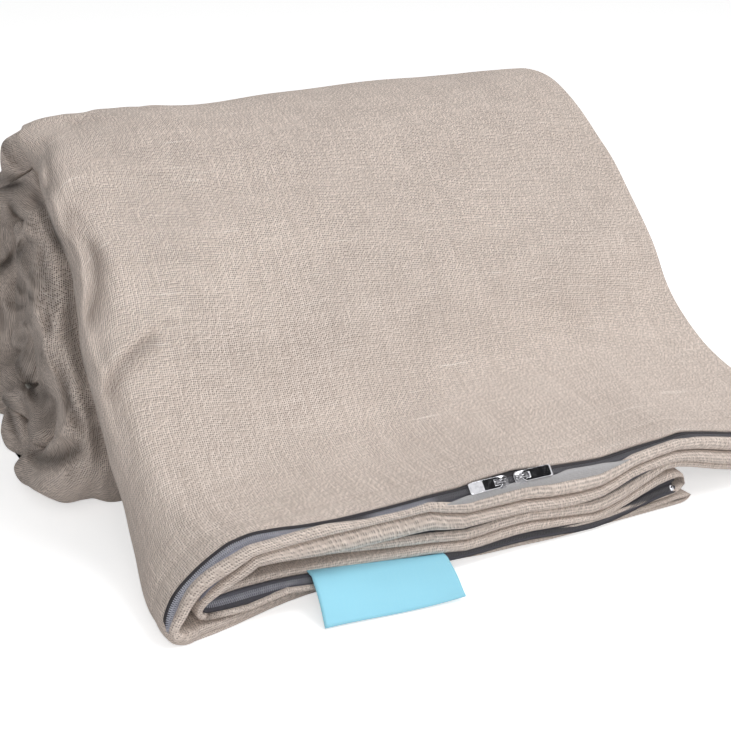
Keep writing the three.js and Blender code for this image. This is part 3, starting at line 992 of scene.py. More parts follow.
class Effects:
    """The shader effects that several finishes share, each built once."""

    def __init__(self) -> None:
        """Builds every effect."""
        self.weave = self.build_weave()
        self.mottle = self.build_mottle()
        self.brushed = self.build_brushed()

    @staticmethod
    def new_group(
        name: str, inputs: dict[str, str], outputs: dict[str, str]
    ) -> tuple[bpy.types.NodeTree, Graph]:
        """Starts a shader node group with named sockets.

        Args:
            name: The group's name.
            inputs: Socket kinds by name.
            outputs: Socket kinds by name.

        Returns:
            The group and a graph to fill it with.
        """
        tree = bpy.data.node_groups.new(name, "ShaderNodeTree")
        for label, kind in inputs.items():
            tree.interface.new_socket(name=label, in_out="INPUT", socket_type=kind)
        for label, kind in outputs.items():
            tree.interface.new_socket(name=label, in_out="OUTPUT", socket_type=kind)
        return tree, Graph(tree)

    def build_weave(self) -> bpy.types.NodeTree:
        """Builds a plain weave with uneven yarns, on flat coordinates in metres."""
        value, vector = "NodeSocketFloat", "NodeSocketVector"
        tree, g = self.new_group(
            "plain_weave",
            {"Flat": vector, "Threads Across": value, "Threads Along": value, "Unevenness": value},
            {"Height": value, "Thread Shade": value, "Slub": value, "Gap": value},
        )
        start, end = g.node("NodeGroupInput"), g.node("NodeGroupOutput")
        flat, uneven = start.outputs["Flat"], start.outputs["Unevenness"]
        u, v, _ = g.split(flat)
        drift = g.times(g.less(g.noise(flat, 45.0, 3.0), 0.5), 0.0016)
        wobble = g.times(g.less(g.noise(flat, 330.0, 2.0), 0.5), 0.0005)
        drift = g.plus(drift, g.times(wobble, uneven))
        u, v = g.plus(u, drift), g.less(v, drift)
        across = g.times(u, start.outputs["Threads Across"])
        along = g.times(v, start.outputs["Threads Along"])
        column, row = g.maths("FLOOR", across), g.maths("FLOOR", along)
        up_thread = g.maths("SINE", g.times(g.maths("FRACT", across), math.pi))
        side_thread = g.maths("SINE", g.times(g.maths("FRACT", along), math.pi))
        turn = g.maths("MODULO", g.plus(g.maths("ABSOLUTE", column), g.maths("ABSOLUTE", row)), 2.0)
        over = g.times(up_thread, g.plus(0.4, g.times(side_thread, 0.6)))
        beside = g.times(side_thread, g.plus(0.4, g.times(up_thread, 0.6)))
        crest = g.plus(g.times(over, turn), g.times(beside, g.less(1.0, turn)))
        yarn_row = g.noise(g.combine(g.times(u, 26.0), g.times(row, 7.31)), 1.0, 2.0, 0.6)
        yarn_column = g.noise(g.combine(g.times(column, 5.17), g.times(v, 30.0)), 1.0, 2.0, 0.6)
        thick_column = g.times(g.spread(yarn_column, 0.7, 0.85), 0.4)
        slub = g.maths("MAXIMUM", g.spread(yarn_row, 0.64, 0.8), thick_column)
        slub = g.times(slub, uneven)
        yarns = g.plus(g.times(yarn_row, 0.35), g.times(yarn_column, 0.65))
        single = g.node("ShaderNodeTexWhiteNoise", noise_dimensions="2D")
        g.join(g.combine(column, row), single.inputs["Vector"])
        speck = g.times(g.less(single.outputs["Value"], 0.5), 0.4)
        uneven_yarn = g.plus(g.less(yarns, 0.5), speck)
        shade = g.plus(0.5, g.times(uneven_yarn, uneven))
        crossing = [g.maths("FLOOR", g.plus(place, 0.5)) for place in (across, along)]
        loose = g.node("ShaderNodeTexWhiteNoise", noise_dimensions="2D")
        g.join(g.combine(*crossing), loose.inputs["Vector"])
        open_here = g.spread(loose.outputs["Value"], 0.0, 1.0, 0.1, 2.0)
        bands = g.vectors("MULTIPLY", flat, (1.0, 2.2, 1.0))
        open_patch = g.spread(g.noise(bands, 34.0, 3.0, 0.6), 0.36, 0.62, 0.6, 1.0)
        narrow = g.maths("MAXIMUM", g.spread(up_thread, 0.15, 0.97), g.spread(side_thread, 0.15, 0.97))
        hole = g.times(g.less(1.0, narrow), g.times(open_here, open_patch))
        gap = g.maths("MINIMUM", g.times(hole, g.plus(1.0, uneven)), 1.0)
        height = g.less(g.plus(crest, g.times(slub, 0.4)), g.times(gap, 0.5))
        for source, name in ((height, "Height"), (shade, "Thread Shade"), (slub, "Slub"), (gap, "Gap")):
            g.join(source, end.inputs[name])
        return tree

    def build_mottle(self) -> bpy.types.NodeTree:
        """Builds soft, uneven patches for a surface's colour and roughness."""
        value, vector = "NodeSocketFloat", "NodeSocketVector"
        tree, g = self.new_group(
            "mottle", {"Place": vector, "Size": value}, {"Broad": value, "Fine": value}
        )
        start, end = g.node("NodeGroupInput"), g.node("NodeGroupOutput")
        scaled = g.node("ShaderNodeVectorMath", operation="SCALE")
        g.join(start.outputs["Place"], scaled.inputs[0])
        g.join(g.maths("DIVIDE", 1.0, start.outputs["Size"]), scaled.inputs["Scale"])
        g.join(g.spread(g.noise(scaled.outputs[0], 1.0, 3.0), 0.3, 0.7), end.inputs["Broad"])
        g.join(g.noise(scaled.outputs[0], 9.0, 4.0, 0.65), end.inputs["Fine"])
        return tree

    def build_brushed(self) -> bpy.types.NodeTree:
        """Builds the fine scratches and dulled patches of handled metal or plastic."""
        value, vector = "NodeSocketFloat", "NodeSocketVector"
        tree, g = self.new_group(
            "handled_surface", {"Place": vector, "Grain": value}, {"Scratch": value, "Dull": value}
        )
        start, end = g.node("NodeGroupInput"), g.node("NodeGroupOutput")
        x, y, z = g.split(start.outputs["Place"])
        grain = start.outputs["Grain"]
        drawn = g.combine(g.times(x, g.times(grain, 0.12)), g.times(y, grain), g.times(z, grain))
        g.join(g.noise(drawn, 1.0, 2.0), end.inputs["Scratch"])
        g.join(g.spread(g.noise(start.outputs["Place"], 420.0, 3.0), 0.42, 0.7), end.inputs["Dull"])
        return tree


@dataclass(frozen=True)
class WovenFinish:
    """A woven cloth or tape.

    Args:
        name: The finish's name, and the record's material slot.
        base: The yarn's colour.
        dark: The colour between the yarns.
        light: The colour of thick, pale yarns.
        threads_across: Threads a metre that run along the cloth.
        threads_along: Threads a metre that run across it.
        unevenness: How uneven the yarns are, from 0.
        depth: The weave's height, in millimetres.
        rough: The surface's roughness.
        sheen: How much the cloth's nap shines at its edges.
        patch: How much broad patches change the colour.
        patch_size: Their size, in metres.
        closed: How much of the gaps between the yarns stays open at the foot edge.
    """

    name: str
    base: tuple
    dark: tuple
    light: tuple
    threads_across: float = 960.0
    threads_along: float = 910.0
    unevenness: float = 1.0
    depth: float = 0.16
    rough: float = 0.88
    sheen: float = 0.08
    patch: float = 0.03
    patch_size: float = 0.09
    closed: float = 0.6

    def build(self, effects: Effects) -> bpy.types.Material:
        """Makes the material.

        Args:
            effects: The shared effects.

        Returns:
            The new material.
        """
        material, g, shader = new_material(self.name)
        flat = g.node("ShaderNodeUVMap", uv_map="flat").outputs[0]
        weave = g.node("ShaderNodeGroup", node_tree=effects.weave)
        g.fill(weave, Flat=flat, Threads_Across=self.threads_across, Threads_Along=self.threads_along)
        g.fill(weave, Unevenness=self.unevenness)
        place = g.node("ShaderNodeTexCoord").outputs["Object"]
        mottle = g.node("ShaderNodeGroup", node_tree=effects.mottle)
        g.fill(mottle, Place=place, Size=self.patch_size)
        yarn = g.blend(g.spread(weave.outputs["Thread Shade"], 0.2, 0.8), self.dark, self.light)
        body = g.blend(0.24, self.base, yarn)
        pale = g.blend(g.times(weave.outputs["Slub"], 0.5), body, self.light)
        open_share = g.spread(g.split(flat)[1], 0.0, 0.3, self.closed, 1.0)
        gap = g.times(weave.outputs["Gap"], open_share)
        dark = g.blend(g.times(gap, 0.95), pale, self.dark)
        patches = g.spread(mottle.outputs["Broad"], 0.0, 1.0, 1.0 - self.patch, 1.0 + self.patch)
        tint = g.combine(patches, patches, patches)
        shaded = g.in_folds(g.blend(1.0, dark, tint, "MULTIPLY"))
        rough = g.spread(weave.outputs["Height"], 0.0, 1.4, self.rough + 0.08, self.rough - 0.06)
        raised = g.plus(weave.outputs["Height"], g.times(mottle.outputs["Fine"], 0.12))
        g.fill(shader, Base_Color=shaded, Roughness=rough, Normal=g.bump(raised, 0.9, self.depth))
        g.fill(shader, Sheen_Weight=self.sheen, Sheen_Roughness=0.5, Specular_IOR_Level=0.25)
        return material


@dataclass(frozen=True)
class SmoothFinish:
    """A moulded, plated or coated surface.

    Args:
        name: The finish's name, and the record's material slot.
        base: The surface's colour.
        worn: The colour of dulled patches.
        rough: The clean surface's roughness.
        dulled: How much rougher a dulled patch is.
        metallic: 1 for metal and 0 for anything else.
        scratch: The height of the fine scratches, in millimetres.
        grain: Scratches a metre.
        coat: How much clear gloss lies on top.
    """

    name: str
    base: tuple
    worn: tuple
    rough: float = 0.3
    dulled: float = 0.12
    metallic: float = 0.0
    scratch: float = 0.01
    grain: float = 4000.0
    coat: float = 0.0

    def build(self, effects: Effects) -> bpy.types.Material:
        """Makes the material.

        Args:
            effects: The shared effects.

        Returns:
            The new material.
        """
        material, g, shader = new_material(self.name)
        place = g.node("ShaderNodeTexCoord").outputs["Object"]
        handled = g.node("ShaderNodeGroup", node_tree=effects.brushed)
        dull = g.fill(handled, Place=place, Grain=self.grain).outputs["Dull"]
        shaded = g.in_folds(g.blend(dull, self.base, self.worn))
        rough = g.spread(dull, 0.0, 1.0, self.rough, self.rough + self.dulled)
        scratched = g.bump(handled.outputs["Scratch"], 0.5, self.scratch)
        g.fill(shader, Base_Color=shaded, Roughness=rough, Normal=scratched)
        g.fill(shader, Metallic=self.metallic, Coat_Weight=self.coat)
        return material


class Finishes:
    """Every material on the blanket, by the record's slots."""

    def __init__(self, effects: Effects) -> None:
        """Makes the materials from the shared effects."""
        self.linen = WovenFinish(
            "linen", colour(230, 214, 203), colour(60, 48, 41), colour(252, 243, 235)
        ).build(effects)
        self.tape = WovenFinish(
            "tape_fabric", colour(172, 173, 190), colour(122, 123, 140), colour(196, 197, 210),
            threads_across=1500.0, threads_along=2200.0, unevenness=0.3, depth=0.1, rough=0.75, sheen=0.05,
        ).build(effects)
        self.guard = WovenFinish(
            "guard_fabric", colour(186, 184, 185), colour(146, 144, 147), colour(212, 210, 211),
            threads_across=1300.0, threads_along=1600.0, unevenness=0.35, depth=0.1, rough=0.8,
        ).build(effects)
        self.label = WovenFinish(
            "label_satin", colour(164, 231, 252), colour(138, 216, 246), colour(192, 242, 254),
            threads_across=4200.0, threads_along=2600.0, unevenness=0.35, depth=0.03, rough=0.5, sheen=0.12,
        ).build(effects)
        self.wadding = WovenFinish(
            "wadding", colour(233, 230, 223), colour(206, 202, 193), colour(244, 242, 237),
            threads_across=520.0, threads_along=480.0, unevenness=1.2, depth=0.5, rough=0.95, sheen=0.1,
            patch=0.05,
        ).build(effects)
        self.pad = WovenFinish(
            "pad_fabric", colour(213, 221, 226), colour(188, 197, 204), colour(229, 235, 238),
            threads_across=2400.0, threads_along=2400.0, unevenness=0.3, depth=0.04, rough=0.6, sheen=0.0,
        ).build(effects)
        self.coil = SmoothFinish(
            "coil_nylon", colour(168, 169, 180), colour(184, 185, 194), rough=0.34, dulled=0.2, grain=6000.0
        ).build(effects)
        self.chrome = SmoothFinish(
            "chrome", colour(222, 222, 226), colour(206, 206, 211),
            rough=0.06, dulled=0.06, metallic=1.0, scratch=0.004, grain=9000.0,
        ).build(effects)
        # The cast bodies' darker base is partly their duller metal and partly a painted reflection of the
        # dark zipper and cloth round them.
        self.casting = SmoothFinish(
            "chrome_casting", colour(158, 157, 160), colour(112, 111, 115),
            rough=0.1, dulled=0.14, metallic=1.0, scratch=0.02, grain=2500.0,
        ).build(effects)
        self.plastic = SmoothFinish(
            "port_plastic", colour(228, 230, 232), colour(216, 218, 221), coat=0.2
        ).build(effects)


def dress(thing: bpy.types.Object, material: bpy.types.Material, body: str) -> bpy.types.Object:
    """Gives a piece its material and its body.

    Args:
        thing: The piece.
        material: Its finish.
        body: The body that it moves with.

    Returns:
        The same piece.
    """
    thing.data.materials.clear()
    thing.data.materials.append(material)
    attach(thing, body)
    LOG.info("made %s: %d points", thing.name, len(thing.data.vertices))
    return thing


# The blanket


@dataclass(frozen=True)
class Crease:
    """A fold line in the cloth, drawn where the photograph shows it.

    Args:
        pixels: Where the line runs in the picture.
        reach: Half its width, in millimetres.
        depth: How deep it is, in millimetres, and below 0 for a ridge.
        lip: How high the cloth swells to the right of the line, seen along it, or below 0 to its left.
    """

    pixels: tuple[tuple[float, float], ...]
    reach: float
    depth: float
    lip: float = 0.0

    def press(self, pixels: np.ndarray, scale: np.ndarray) -> tuple[np.ndarray, np.ndarray]:
        """Works out how far points are pressed in, in millimetres, and how deep in shade they lie.

        Args:
            pixels: Where the points fall in the picture.
            scale: Pixels a millimetre at each point.

        Returns:
            The distance for each point, below 0 where the cloth swells, and its shade, from 0 to 1.
        """
        line = through(self.pixels, 6)
        gap = np.full(len(pixels), np.inf)
        side = np.zeros(len(pixels))
        for a, b in zip(line[:-1], line[1:]):
            span = b - a
            t = np.clip(((pixels - a) @ span) / (span @ span), 0.0, 1.0)
            apart = pixels - a - t[:, None] * span
            near = np.linalg.norm(apart, axis=-1)
            side = np.where(near < gap, np.sign(span[0] * apart[:, 1] - span[1] * apart[:, 0]), side)
            gap = np.minimum(gap, near)
        ends = [np.linalg.norm(pixels - end, axis=-1) for end in (line[0], line[-1])]
        fade = smooth_step(0.0, min(24.0, 0.4 * lengths_along(line)[-1]), np.minimum(*ends))
        apart = gap / scale / (self.reach * (0.74 if self.depth > 0 else 1.0))
        upper = side * math.copysign(1, self.lip) * apart
        swell = abs(self.lip) * np.exp(-(((upper - 1.5) / 0.9) ** 2))
        tight = np.where(upper > 0, 1.0 + 0.5 * min(abs(self.lip), 3.0), 1.0)
        press = self.depth * np.exp(-((tight * apart) ** 1.35))
        # Painted shade: darkest at a deep crease's core, falling off fast on the lip side.
        shade = min(max(self.depth / 11.0, 0.0), 1.0) * np.exp(-((1.4 * tight * apart) ** 1.3)) * fade
        return (press - swell) * fade, shade


@dataclass(frozen=True)
class Nudge:
    """A place on the roll's end that is moved to where the photograph shows it.

    Args:
        shown_at: Where the plain roll shows it, in pixels.
        moved_to: Where the photograph shows it, in pixels.
        level: Whether it keeps its height, in place of its distance from the camera.
    """

    shown_at: tuple[float, float]
    moved_to: tuple[float, float]
    level: bool = False


@dataclass
class Quilt:
    """The two linen panels with the filling and the water tube pad between them.

    Args:
        camera: The camera, which places the creases.
    """

    camera: Camera
    fold: QuarterFold = field(default_factory=QuarterFold)
    path: RollPath = field(default_factory=RollPath)
    foot: FootEdge = field(default_factory=FootEdge)
    left_lean: float = 0.19
    middle_x: float = -1.0628
    middle_y: float = -129.704
    plane: EdgePlane = field(default_factory=EdgePlane)
    foot_reach: float = 55.0
    right_sag_reach: float = 45.0
    hem_width: float = 12.0
    hem_dip: float = 0.55
    hem_crown: float = 0.45
    core_round: float = 9.0
    lowest: float = 0.15
    cover_body: str = "blanket"
    nudge_reach: float = 26.0
    nudges: tuple[Nudge, ...] = (
        Nudge((1, 149), (1, 137)),
        Nudge((8, 140), (8, 131)),
        Nudge((22, 127), (21, 122)),
        Nudge((60, 114), (60, 115)),
        Nudge((2, 180), (2, 189)),
        Nudge((17, 172), (18, 183)),
        Nudge((33, 164), (32, 183)),
        Nudge((51, 190), (36, 192)),
        Nudge((59, 213), (47, 214)),
        Nudge((69, 240), (59, 240)),
        Nudge((79, 260), (70, 261)),
        Nudge((86, 282), (71, 283)),
        Nudge((92, 317), (74, 316)),
        Nudge((95, 338), (77, 338)),
        Nudge((101, 361), (83, 361)),
        Nudge((109, 386), (90, 387)),
        Nudge((116, 413), (95, 413)),
        Nudge((121, 438), (101, 439), True),
        Nudge((125, 468), (113, 468), True),
        Nudge((129, 495), (124, 497), True),
        Nudge((5, 210), (8, 203)),
        Nudge((30, 215), (38, 233)),
        Nudge((13, 338), (20, 350)),
        Nudge((38, 367), (45, 391)),
        Nudge((2, 402), (6, 404)),
        Nudge((27, 413), (26, 430)),
        Nudge((40, 437), (46, 450)),
        Nudge((5.5, 448), (6, 443), True),
        Nudge((21, 455), (11, 455)),
        Nudge((19, 469), (15, 475), True),
        Nudge((36, 480), (39, 494), True),
        Nudge((66, 487), (67, 503), True),
        Nudge((90, 483), (92, 499), True),
        Nudge((115, 485), (115, 498), True),
        Nudge((120, 300), (117, 300)),
        Nudge((110, 200), (109, 200)),
        Nudge((150, 400), (148, 400)),
        Nudge((160, 480), (160, 480)),
        Nudge((140, 540), (140, 540)),
    )
    creases: tuple[Crease, ...] = (
        Crease(((165, 331), (145, 345), (123, 367), (110, 389), (106, 414)), 6.0, 5.5, 3.5),
        Crease(((-20, 120), (1, 143), (4, 150), (11, 159), (20, 167), (30, 174)), 3.5, 7.0, 2.0),
        Crease(((-30, 186), (0, 187), (12, 186), (22, 184), (34, 185)), 5.0, 18.0, -4.0),
        Crease(((-30, 178), (0, 180), (20, 184)), 6.0, 12.0),
        Crease(((3, 191), (14, 212), (22, 219), (31, 227), (40, 237)), 3.5, 8.0, 3.0),
        Crease(((44, 238), (29, 239), (23, 243), (16, 253), (6, 263), (-15, 276)), 4.5, 15.0, 3.0),
        Crease(((30, 183), (38, 197), (47, 214), (54, 230), (61, 244), (70, 261)), 4.5, 14.0, -4.0),
        Crease(((68, 256), (71, 280), (72, 302), (75, 328), (80, 356), (90, 384)), 4.5, 9.0, -3.0),
        Crease(((88, 380), (91, 398), (97, 423), (101, 440), (107, 458)), 4.5, 9.0, -2.0),
        Crease(((46, 145), (47, 172), (48, 196), (49, 207)), 4.5, 5.0, 2.5),
        Crease(((60, 160), (61, 195), (62, 228)), 6.0, -3.0),
        Crease(((69, 199), (67, 226), (70, 243), (76, 259)), 6.0, 5.0, 2.0),
        Crease(((82, 235), (93, 260), (95, 285), (89, 315), (86, 340)), 6.0, 5.5, 3.0),
        Crease(((22, 245), (25, 258), (33, 280), (47, 306)), 3.0, 6.5, 2.0),
        Crease(((31, 256), (37, 275), (39, 286)), 2.5, 4.0),
        Crease(((40, 236), (43, 248), (44, 269), (51, 290), (57, 302), (59, 320)), 4.0, 9.0, -3.0),
        Crease(((8, 278), (27, 295), (36, 301), (47, 306), (49, 315)), 3.5, 10.0, 3.0),
        Crease(((16, 290), (13, 302), (20, 307), (35, 305)), 3.0, 10.0),
        Crease(((14, 324), (22, 321), (35, 311)), 2.8, 7.0),
        Crease(((35, 300), (41, 306), (48, 314), (49, 328), (48, 345)), 3.5, 8.0, -2.5),
        Crease(((-12, 290), (-2, 305), (2, 322), (6, 340)), 4.0, 9.0),
        Crease(((10, 349), (28, 352), (44, 353), (53, 348)), 4.5, 16.0, -3.0),
        Crease(((8, 343), (15, 355), (20, 367), (32, 384), (34, 393), (42, 405), (50, 409)), 4.0, 14.0, -3.0),
        Crease(((36, 383), (44, 393), (50, 405)), 5.5, 17.0),
        Crease(((53, 361), (57, 365), (60, 369)), 2.4, 6.0),
        Crease(((60, 355), (63, 363), (69, 398), (76, 416), (84, 429), (88, 438)), 4.0, 10.0, -2.5),
        Crease(
            ((90, 434), (79, 449), (70, 456), (56, 461), (41, 461), (28, 452), (19, 447)), 5.5, 18.0, -3.0
        ),
        Crease(((22, 451), (14, 426), (4, 398), (-12, 388)), 3.5, 10.0, 2.0),
        Crease(((28, 391), (25, 412), (27, 433), (30, 450), (38, 459)), 3.0, 5.5, 2.0),
        Crease(((49, 409), (53, 426), (56, 435)), 3.0, 5.0),
        Crease(((21, 451), (17, 468)), 2.6, 5.0),
        Crease(((74, 458), (70, 471), (73, 481), (80, 485)), 3.5, 5.0, 2.0),
        Crease(((79, 440), (85, 445)), 4.0, -4.5),
        Crease(((38, 145), (43, 175), (50, 197), (57, 222), (66, 246)), 5.0, -4.0),
        Crease(((48, 205), (55, 245), (62, 290), (66, 330), (72, 370), (80, 400)), 6.0, -4.0),
        Crease(((4, 200), (18, 207), (34, 222)), 6.0, -4.0),
        Crease(((30, 410), (50, 440), (70, 435)), 9.0, -4.0),
        Crease(((43, 468), (41, 480), (46, 494)), 4.0, -3.0),
    )
    crease_end: float = 185.0
    crease_sink: float = 30.0
    crease_stop: float = 110.0
    sink_front: float = 16.0
    sink_rear: float = 7.0
    sink_fade: float = 11.0
    rear_from_to: tuple[float, float] = (30.0, 80.0)
    map_cell: float = 5.0
    map_size: int = 200
    map_margin: float = 100.0
    nothing_near: float = 2000.0
    seen_slack: float = 14.0
    under_clear: float = 2.0
    piece_inset: float = 12.0
    quilting: float = 76.0
    pad_depth: float = 0.8
    channel_pitch: float = 32.0
    channel_rise: float = 0.09
    columns: Columns = field(init=False)
    stations: Stations = field(init=False)
    top: np.ndarray = field(init=False)
    under: np.ndarray = field(init=False)
    top_edge: np.ndarray = field(init=False)
    under_edge: np.ndarray = field(init=False)
    nearest: np.ndarray = field(init=False)
    fronts: list[np.ndarray] = field(default_factory=list)
    shades: dict[str, np.ndarray] = field(default_factory=dict)
    laid: dict[Panel, np.ndarray] = field(default_factory=dict)

    def __post_init__(self) -> None:
        """Works out both panels' surfaces."""
        self.columns = self.fold.columns()
        self.stations = self.path.stations()
        self.top_edge, self.under_edge = self.edges()
        self.top = self.surface(Panel.TOP)
        self.under = self.surface(Panel.BOTTOM)
        self.crumple()
        self.shift_end()
        self.laid = {Panel.TOP: self.top.copy(), Panel.BOTTOM: self.under.copy()}
        self.press_creases()
        self.nearest = self.nearness()
        self.shape_hem()

    def sweep(self, depth: float) -> np.ndarray:
        """Carries the quarter fold along the roll's line.

        Args:
            depth: From 0 on a layer's top panel to 1 on its bottom panel.

        Returns:
            The points, by station and by column.
        """
        across, down = self.fold.flat(self.columns, depth).T
        share = down / self.fold.thickness
        outer, inner = self.stations.outer, self.stations.inner
        height = mix(outer[:, 1:2], inner[:, 1:2], share)
        reach = mix(outer[:, 0:1], inner[:, 0:1], share)
        lean = (self.left_lean * height + self.stations.drawn[:, None]) * (1 - across / self.fold.width)
        x = across + lean - self.fold.width / 2 + self.middle_x
        y = reach - self.stations.skew[:, None] * across + self.middle_y
        return np.stack([x, y, height], -1)

    def edges(self) -> tuple[np.ndarray, np.ndarray]:
        """Gives both panels' lines along the foot edge, one point for each column."""
        lines = []
        for panel in Panel:
            straight = self.sweep(float(panel.value))[0]
            x, z, front = self.foot.line(self.columns, panel, straight[:, 0]).T
            self.fronts.append(front)
            roll = self.foot.read(self.foot.hems[panel], self.columns, x)
            y = self.plane.y_at(x, front) + roll / 2
            lines.append(np.stack([x, y, z], 1))
        top, under = lines
        middle = (top + under) / 2
        opening = self.fold.opening(self.columns)[:, None]
        return middle + (top - middle) * opening, middle + (under - middle) * opening

    def surface(self, panel: Panel) -> np.ndarray:
        """Gives a panel's points, by station and by column, before its folds and creases."""
        edge = self.top_edge if panel is Panel.TOP else self.under_edge
        swept = self.sweep(float(panel.value))
        along = self.stations.along[:, None]
        reach = self.foot_reach + self.right_sag_reach * smooth_step(85.0, 150.0, edge[:, 0])
        share = smooth_step(0.0, 1.0, along / reach)[..., None]
        flat = edge[None] + np.stack([0 * along, along, 0 * along], -1)
        points = mix(flat, swept, share)
        last = self.stations.along[-1] - self.stations.along
        closing = 1 - np.clip(last / self.core_round, 0.0, 1.0)
        open_share = np.sqrt(1 - closing**2)[:, None, None]
        middle = self.sweep(0.5)
        return middle + (points - middle) * open_share

    def normals(self, points: np.ndarray, away_from: np.ndarray) -> np.ndarray:
        """Gives a surface's directions outward.

        Args:
            points: The surface, by station and by column.
            away_from: The surface behind it.

        Returns:
            A direction for each point.
        """
        found = unit(np.cross(np.gradient(points, axis=0), np.gradient(points, axis=1)))
        side = np.sign(((points - away_from) * found).sum(-1, keepdims=True))
        return found * np.where(side == 0, 1, side)

    def crumple(self) -> None:
        """Lets both panels wander together, most at the left end of the roll."""
        across = self.fold.flat(self.columns, 0.5)[:, 0][None]
        along = self.stations.along[:, None]
        rolled = smooth_step(5.0, 60.0, self.stations.travel)[:, None]
        settled = smooth_step(25.0, 95.0, along) * (0.22 + 0.78 * rolled)
        left = (1 - smooth_step(18.0, 105.0, across)) * settled
        right = smooth_step(330.0, 381.0, across) * settled * 0.6
        edge = (1 - smooth_step(0.0, 45.0, across)) * settled
        broad, middling, fine, out = Ripples(74, 11), Ripples(30, 12), Ripples(17, 13), Ripples(42, 14)
        lumps = Ripples(88, 15)
        for name in ("top", "under"):
            points = getattr(self, name)
            move = broad.all(points) * (3.4 * (left + right))[..., None]
            move += middling.all(points) * (1.3 * left)[..., None]
            move += fine.all(points) * (0.45 * left)[..., None]
            move[..., 0] += out.one(points) * 3.6 * edge
            share = smooth_step(25.0, 95.0, along) * np.ones_like(across)
            move += lumps.all(points) * (1.1 * share)[..., None]
            setattr(self, name, points + move)
        self.keep_up()

    def shift_end(self) -> None:
        """Moves the roll's left end to the places that the photograph shows."""
        shown = self.seen(self.top, self.normals(self.top, self.under))
        pixels = self.camera.pixels(self.top)
        place, ahead = np.array(self.camera.place), self.camera.axes()[0]
        anchors, moves = [], []
        for nudge in self.nudges:
            gap = np.where(shown, np.linalg.norm(pixels - nudge.shown_at, axis=-1), np.inf)
            anchor = self.top[np.unravel_index(np.argmin(gap), gap.shape)]
            ray = self.camera.ray(nudge.moved_to)
            far = (anchor[2] - place[2]) / ray[2] if nudge.level else (anchor - place) @ ahead
            anchors.append(anchor)
            moves.append(place + ray * far - anchor)
        for name in ("top", "under"):
            points = getattr(self, name)
            gaps = np.array([np.linalg.norm(points - anchor, axis=-1) for anchor in anchors])
            weights = np.exp(-((gaps / self.nudge_reach) ** 2))
            total = weights.sum(axis=0)
            move = np.einsum("nij,nk->ijk", weights, np.array(moves))
            away = smooth_step(12.0, 45.0, self.stations.along)[:, None]
            share = away * np.minimum(total, 1.0) / np.maximum(total, 1e-9)
            setattr(self, name, points + move * share[..., None])
        self.keep_up()

    def keep_up(self) -> None:
        """Keeps both panels above the floor."""
        self.top[..., 2] = np.maximum(self.top[..., 2], self.lowest)
        raised = self.lowest + self.under_clear * self.fold.opening(self.columns)
        self.under[..., 2] = np.maximum(self.under[..., 2], raised)

    def nearness(self) -> np.ndarray:
        """Maps how far from the camera the nearest part of the blanket is, with its gaps closed."""
        nearest = np.full((self.map_size, self.map_size), np.inf)
        for points in (self.top, self.under):
            far = np.linalg.norm(points - np.array(self.camera.place), axis=-1)
            spots = (self.camera.pixels(points) + self.map_margin) / self.map_cell
            cells = np.clip(np.floor(spots).astype(int), 0, self.map_size - 1)
            np.minimum.at(nearest, (cells[..., 0], cells[..., 1]), far)
        for _ in range(2):
            wide = np.pad(nearest, 1, mode="edge")
            around = np.min([wide[2:, 1:-1], wide[:-2, 1:-1], wide[1:-1, 2:], wide[1:-1, :-2]], axis=0)
            nearest = np.where(np.isinf(nearest), around, nearest)
        return np.where(np.isinf(nearest), self.nothing_near, nearest)

    def nearest_at(self, pixels: np.ndarray) -> np.ndarray:
        """Reads the nearness map between its cells."""
        spot = np.clip((pixels + self.map_margin) / self.map_cell - 0.5, 0, self.map_size - 1.1)
        low, part = np.floor(spot).astype(int), spot % 1.0
        read = [[self.nearest[low[..., 0] + i, low[..., 1] + j] for j in (0, 1)] for i in (0, 1)]
        left, right = (mix(pair[0], pair[1], part[..., 1]) for pair in read)
        return mix(left, right, part[..., 0])

    def press_creases(self) -> None:
        """Presses the creases into the layers that the camera sees, straight away from it, and keeps the
        shade that is painted along them.
        """
        place = np.array(self.camera.place)
        self.nearest = self.nearness()
        for name in ("top", "under"):
            points = getattr(self, name)
            pixels = self.camera.pixels(points)
            far = np.linalg.norm(points - place, axis=-1)
            behind = np.maximum(far - self.nearest_at(pixels) - 2.0, 0.0)
            chosen = (pixels[..., 0] < self.crease_end) & (behind < self.crease_stop)
            ray = unit(points[chosen] - place)
            scale = self.camera.focal_pixels / far[chosen]
            press, clear = np.zeros(len(ray)), np.ones(len(ray))
            for crease in self.creases:
                pressed, shade = crease.press(pixels[chosen], scale)
                press += pressed
                clear *= 1 - shade
            near = np.exp(-behind[chosen] / self.crease_sink)
            maps = np.zeros((2, *points.shape[:2]))
            maps[0][chosen], maps[1][chosen] = press * near, (1 - clear) * near
            for _ in range(2):
                beside = maps[:, 2:, 1:-1] + maps[:, :-2, 1:-1] + maps[:, 1:-1, 2:] + maps[:, 1:-1, :-2]
                maps[:, 1:-1, 1:-1] = (maps[:, 1:-1, 1:-1] * 2 + beside) / 6
            points[chosen] += ray * maps[0][chosen][:, None]
            self.shades[name] = maps[1]
        self.keep_up()

    def sunk(self, points: np.ndarray) -> np.ndarray:
        """Moves what lies inside the layers away from the linen that the camera sees."""
        place = np.array(self.camera.place)
        far = np.linalg.norm(points - place, axis=-1)
        pixels = self.camera.pixels(points)
        behind = np.maximum(far - self.nearest_at(pixels), -4.0)
        share = 1 - smooth_step(self.crease_end - 40, self.crease_end, pixels[..., 0])
        rear = smooth_step(*self.rear_from_to, points[..., 1])
        away = unit(mix(unit(points - place), np.array([1.0, 0.0, 0.0]), rear[..., None]))
        reach = mix(self.sink_front, self.sink_rear, rear) * np.exp(-behind / self.sink_fade) * share
        return np.maximum(points + away * reach[..., None], [-np.inf, -np.inf, 3 * self.lowest])

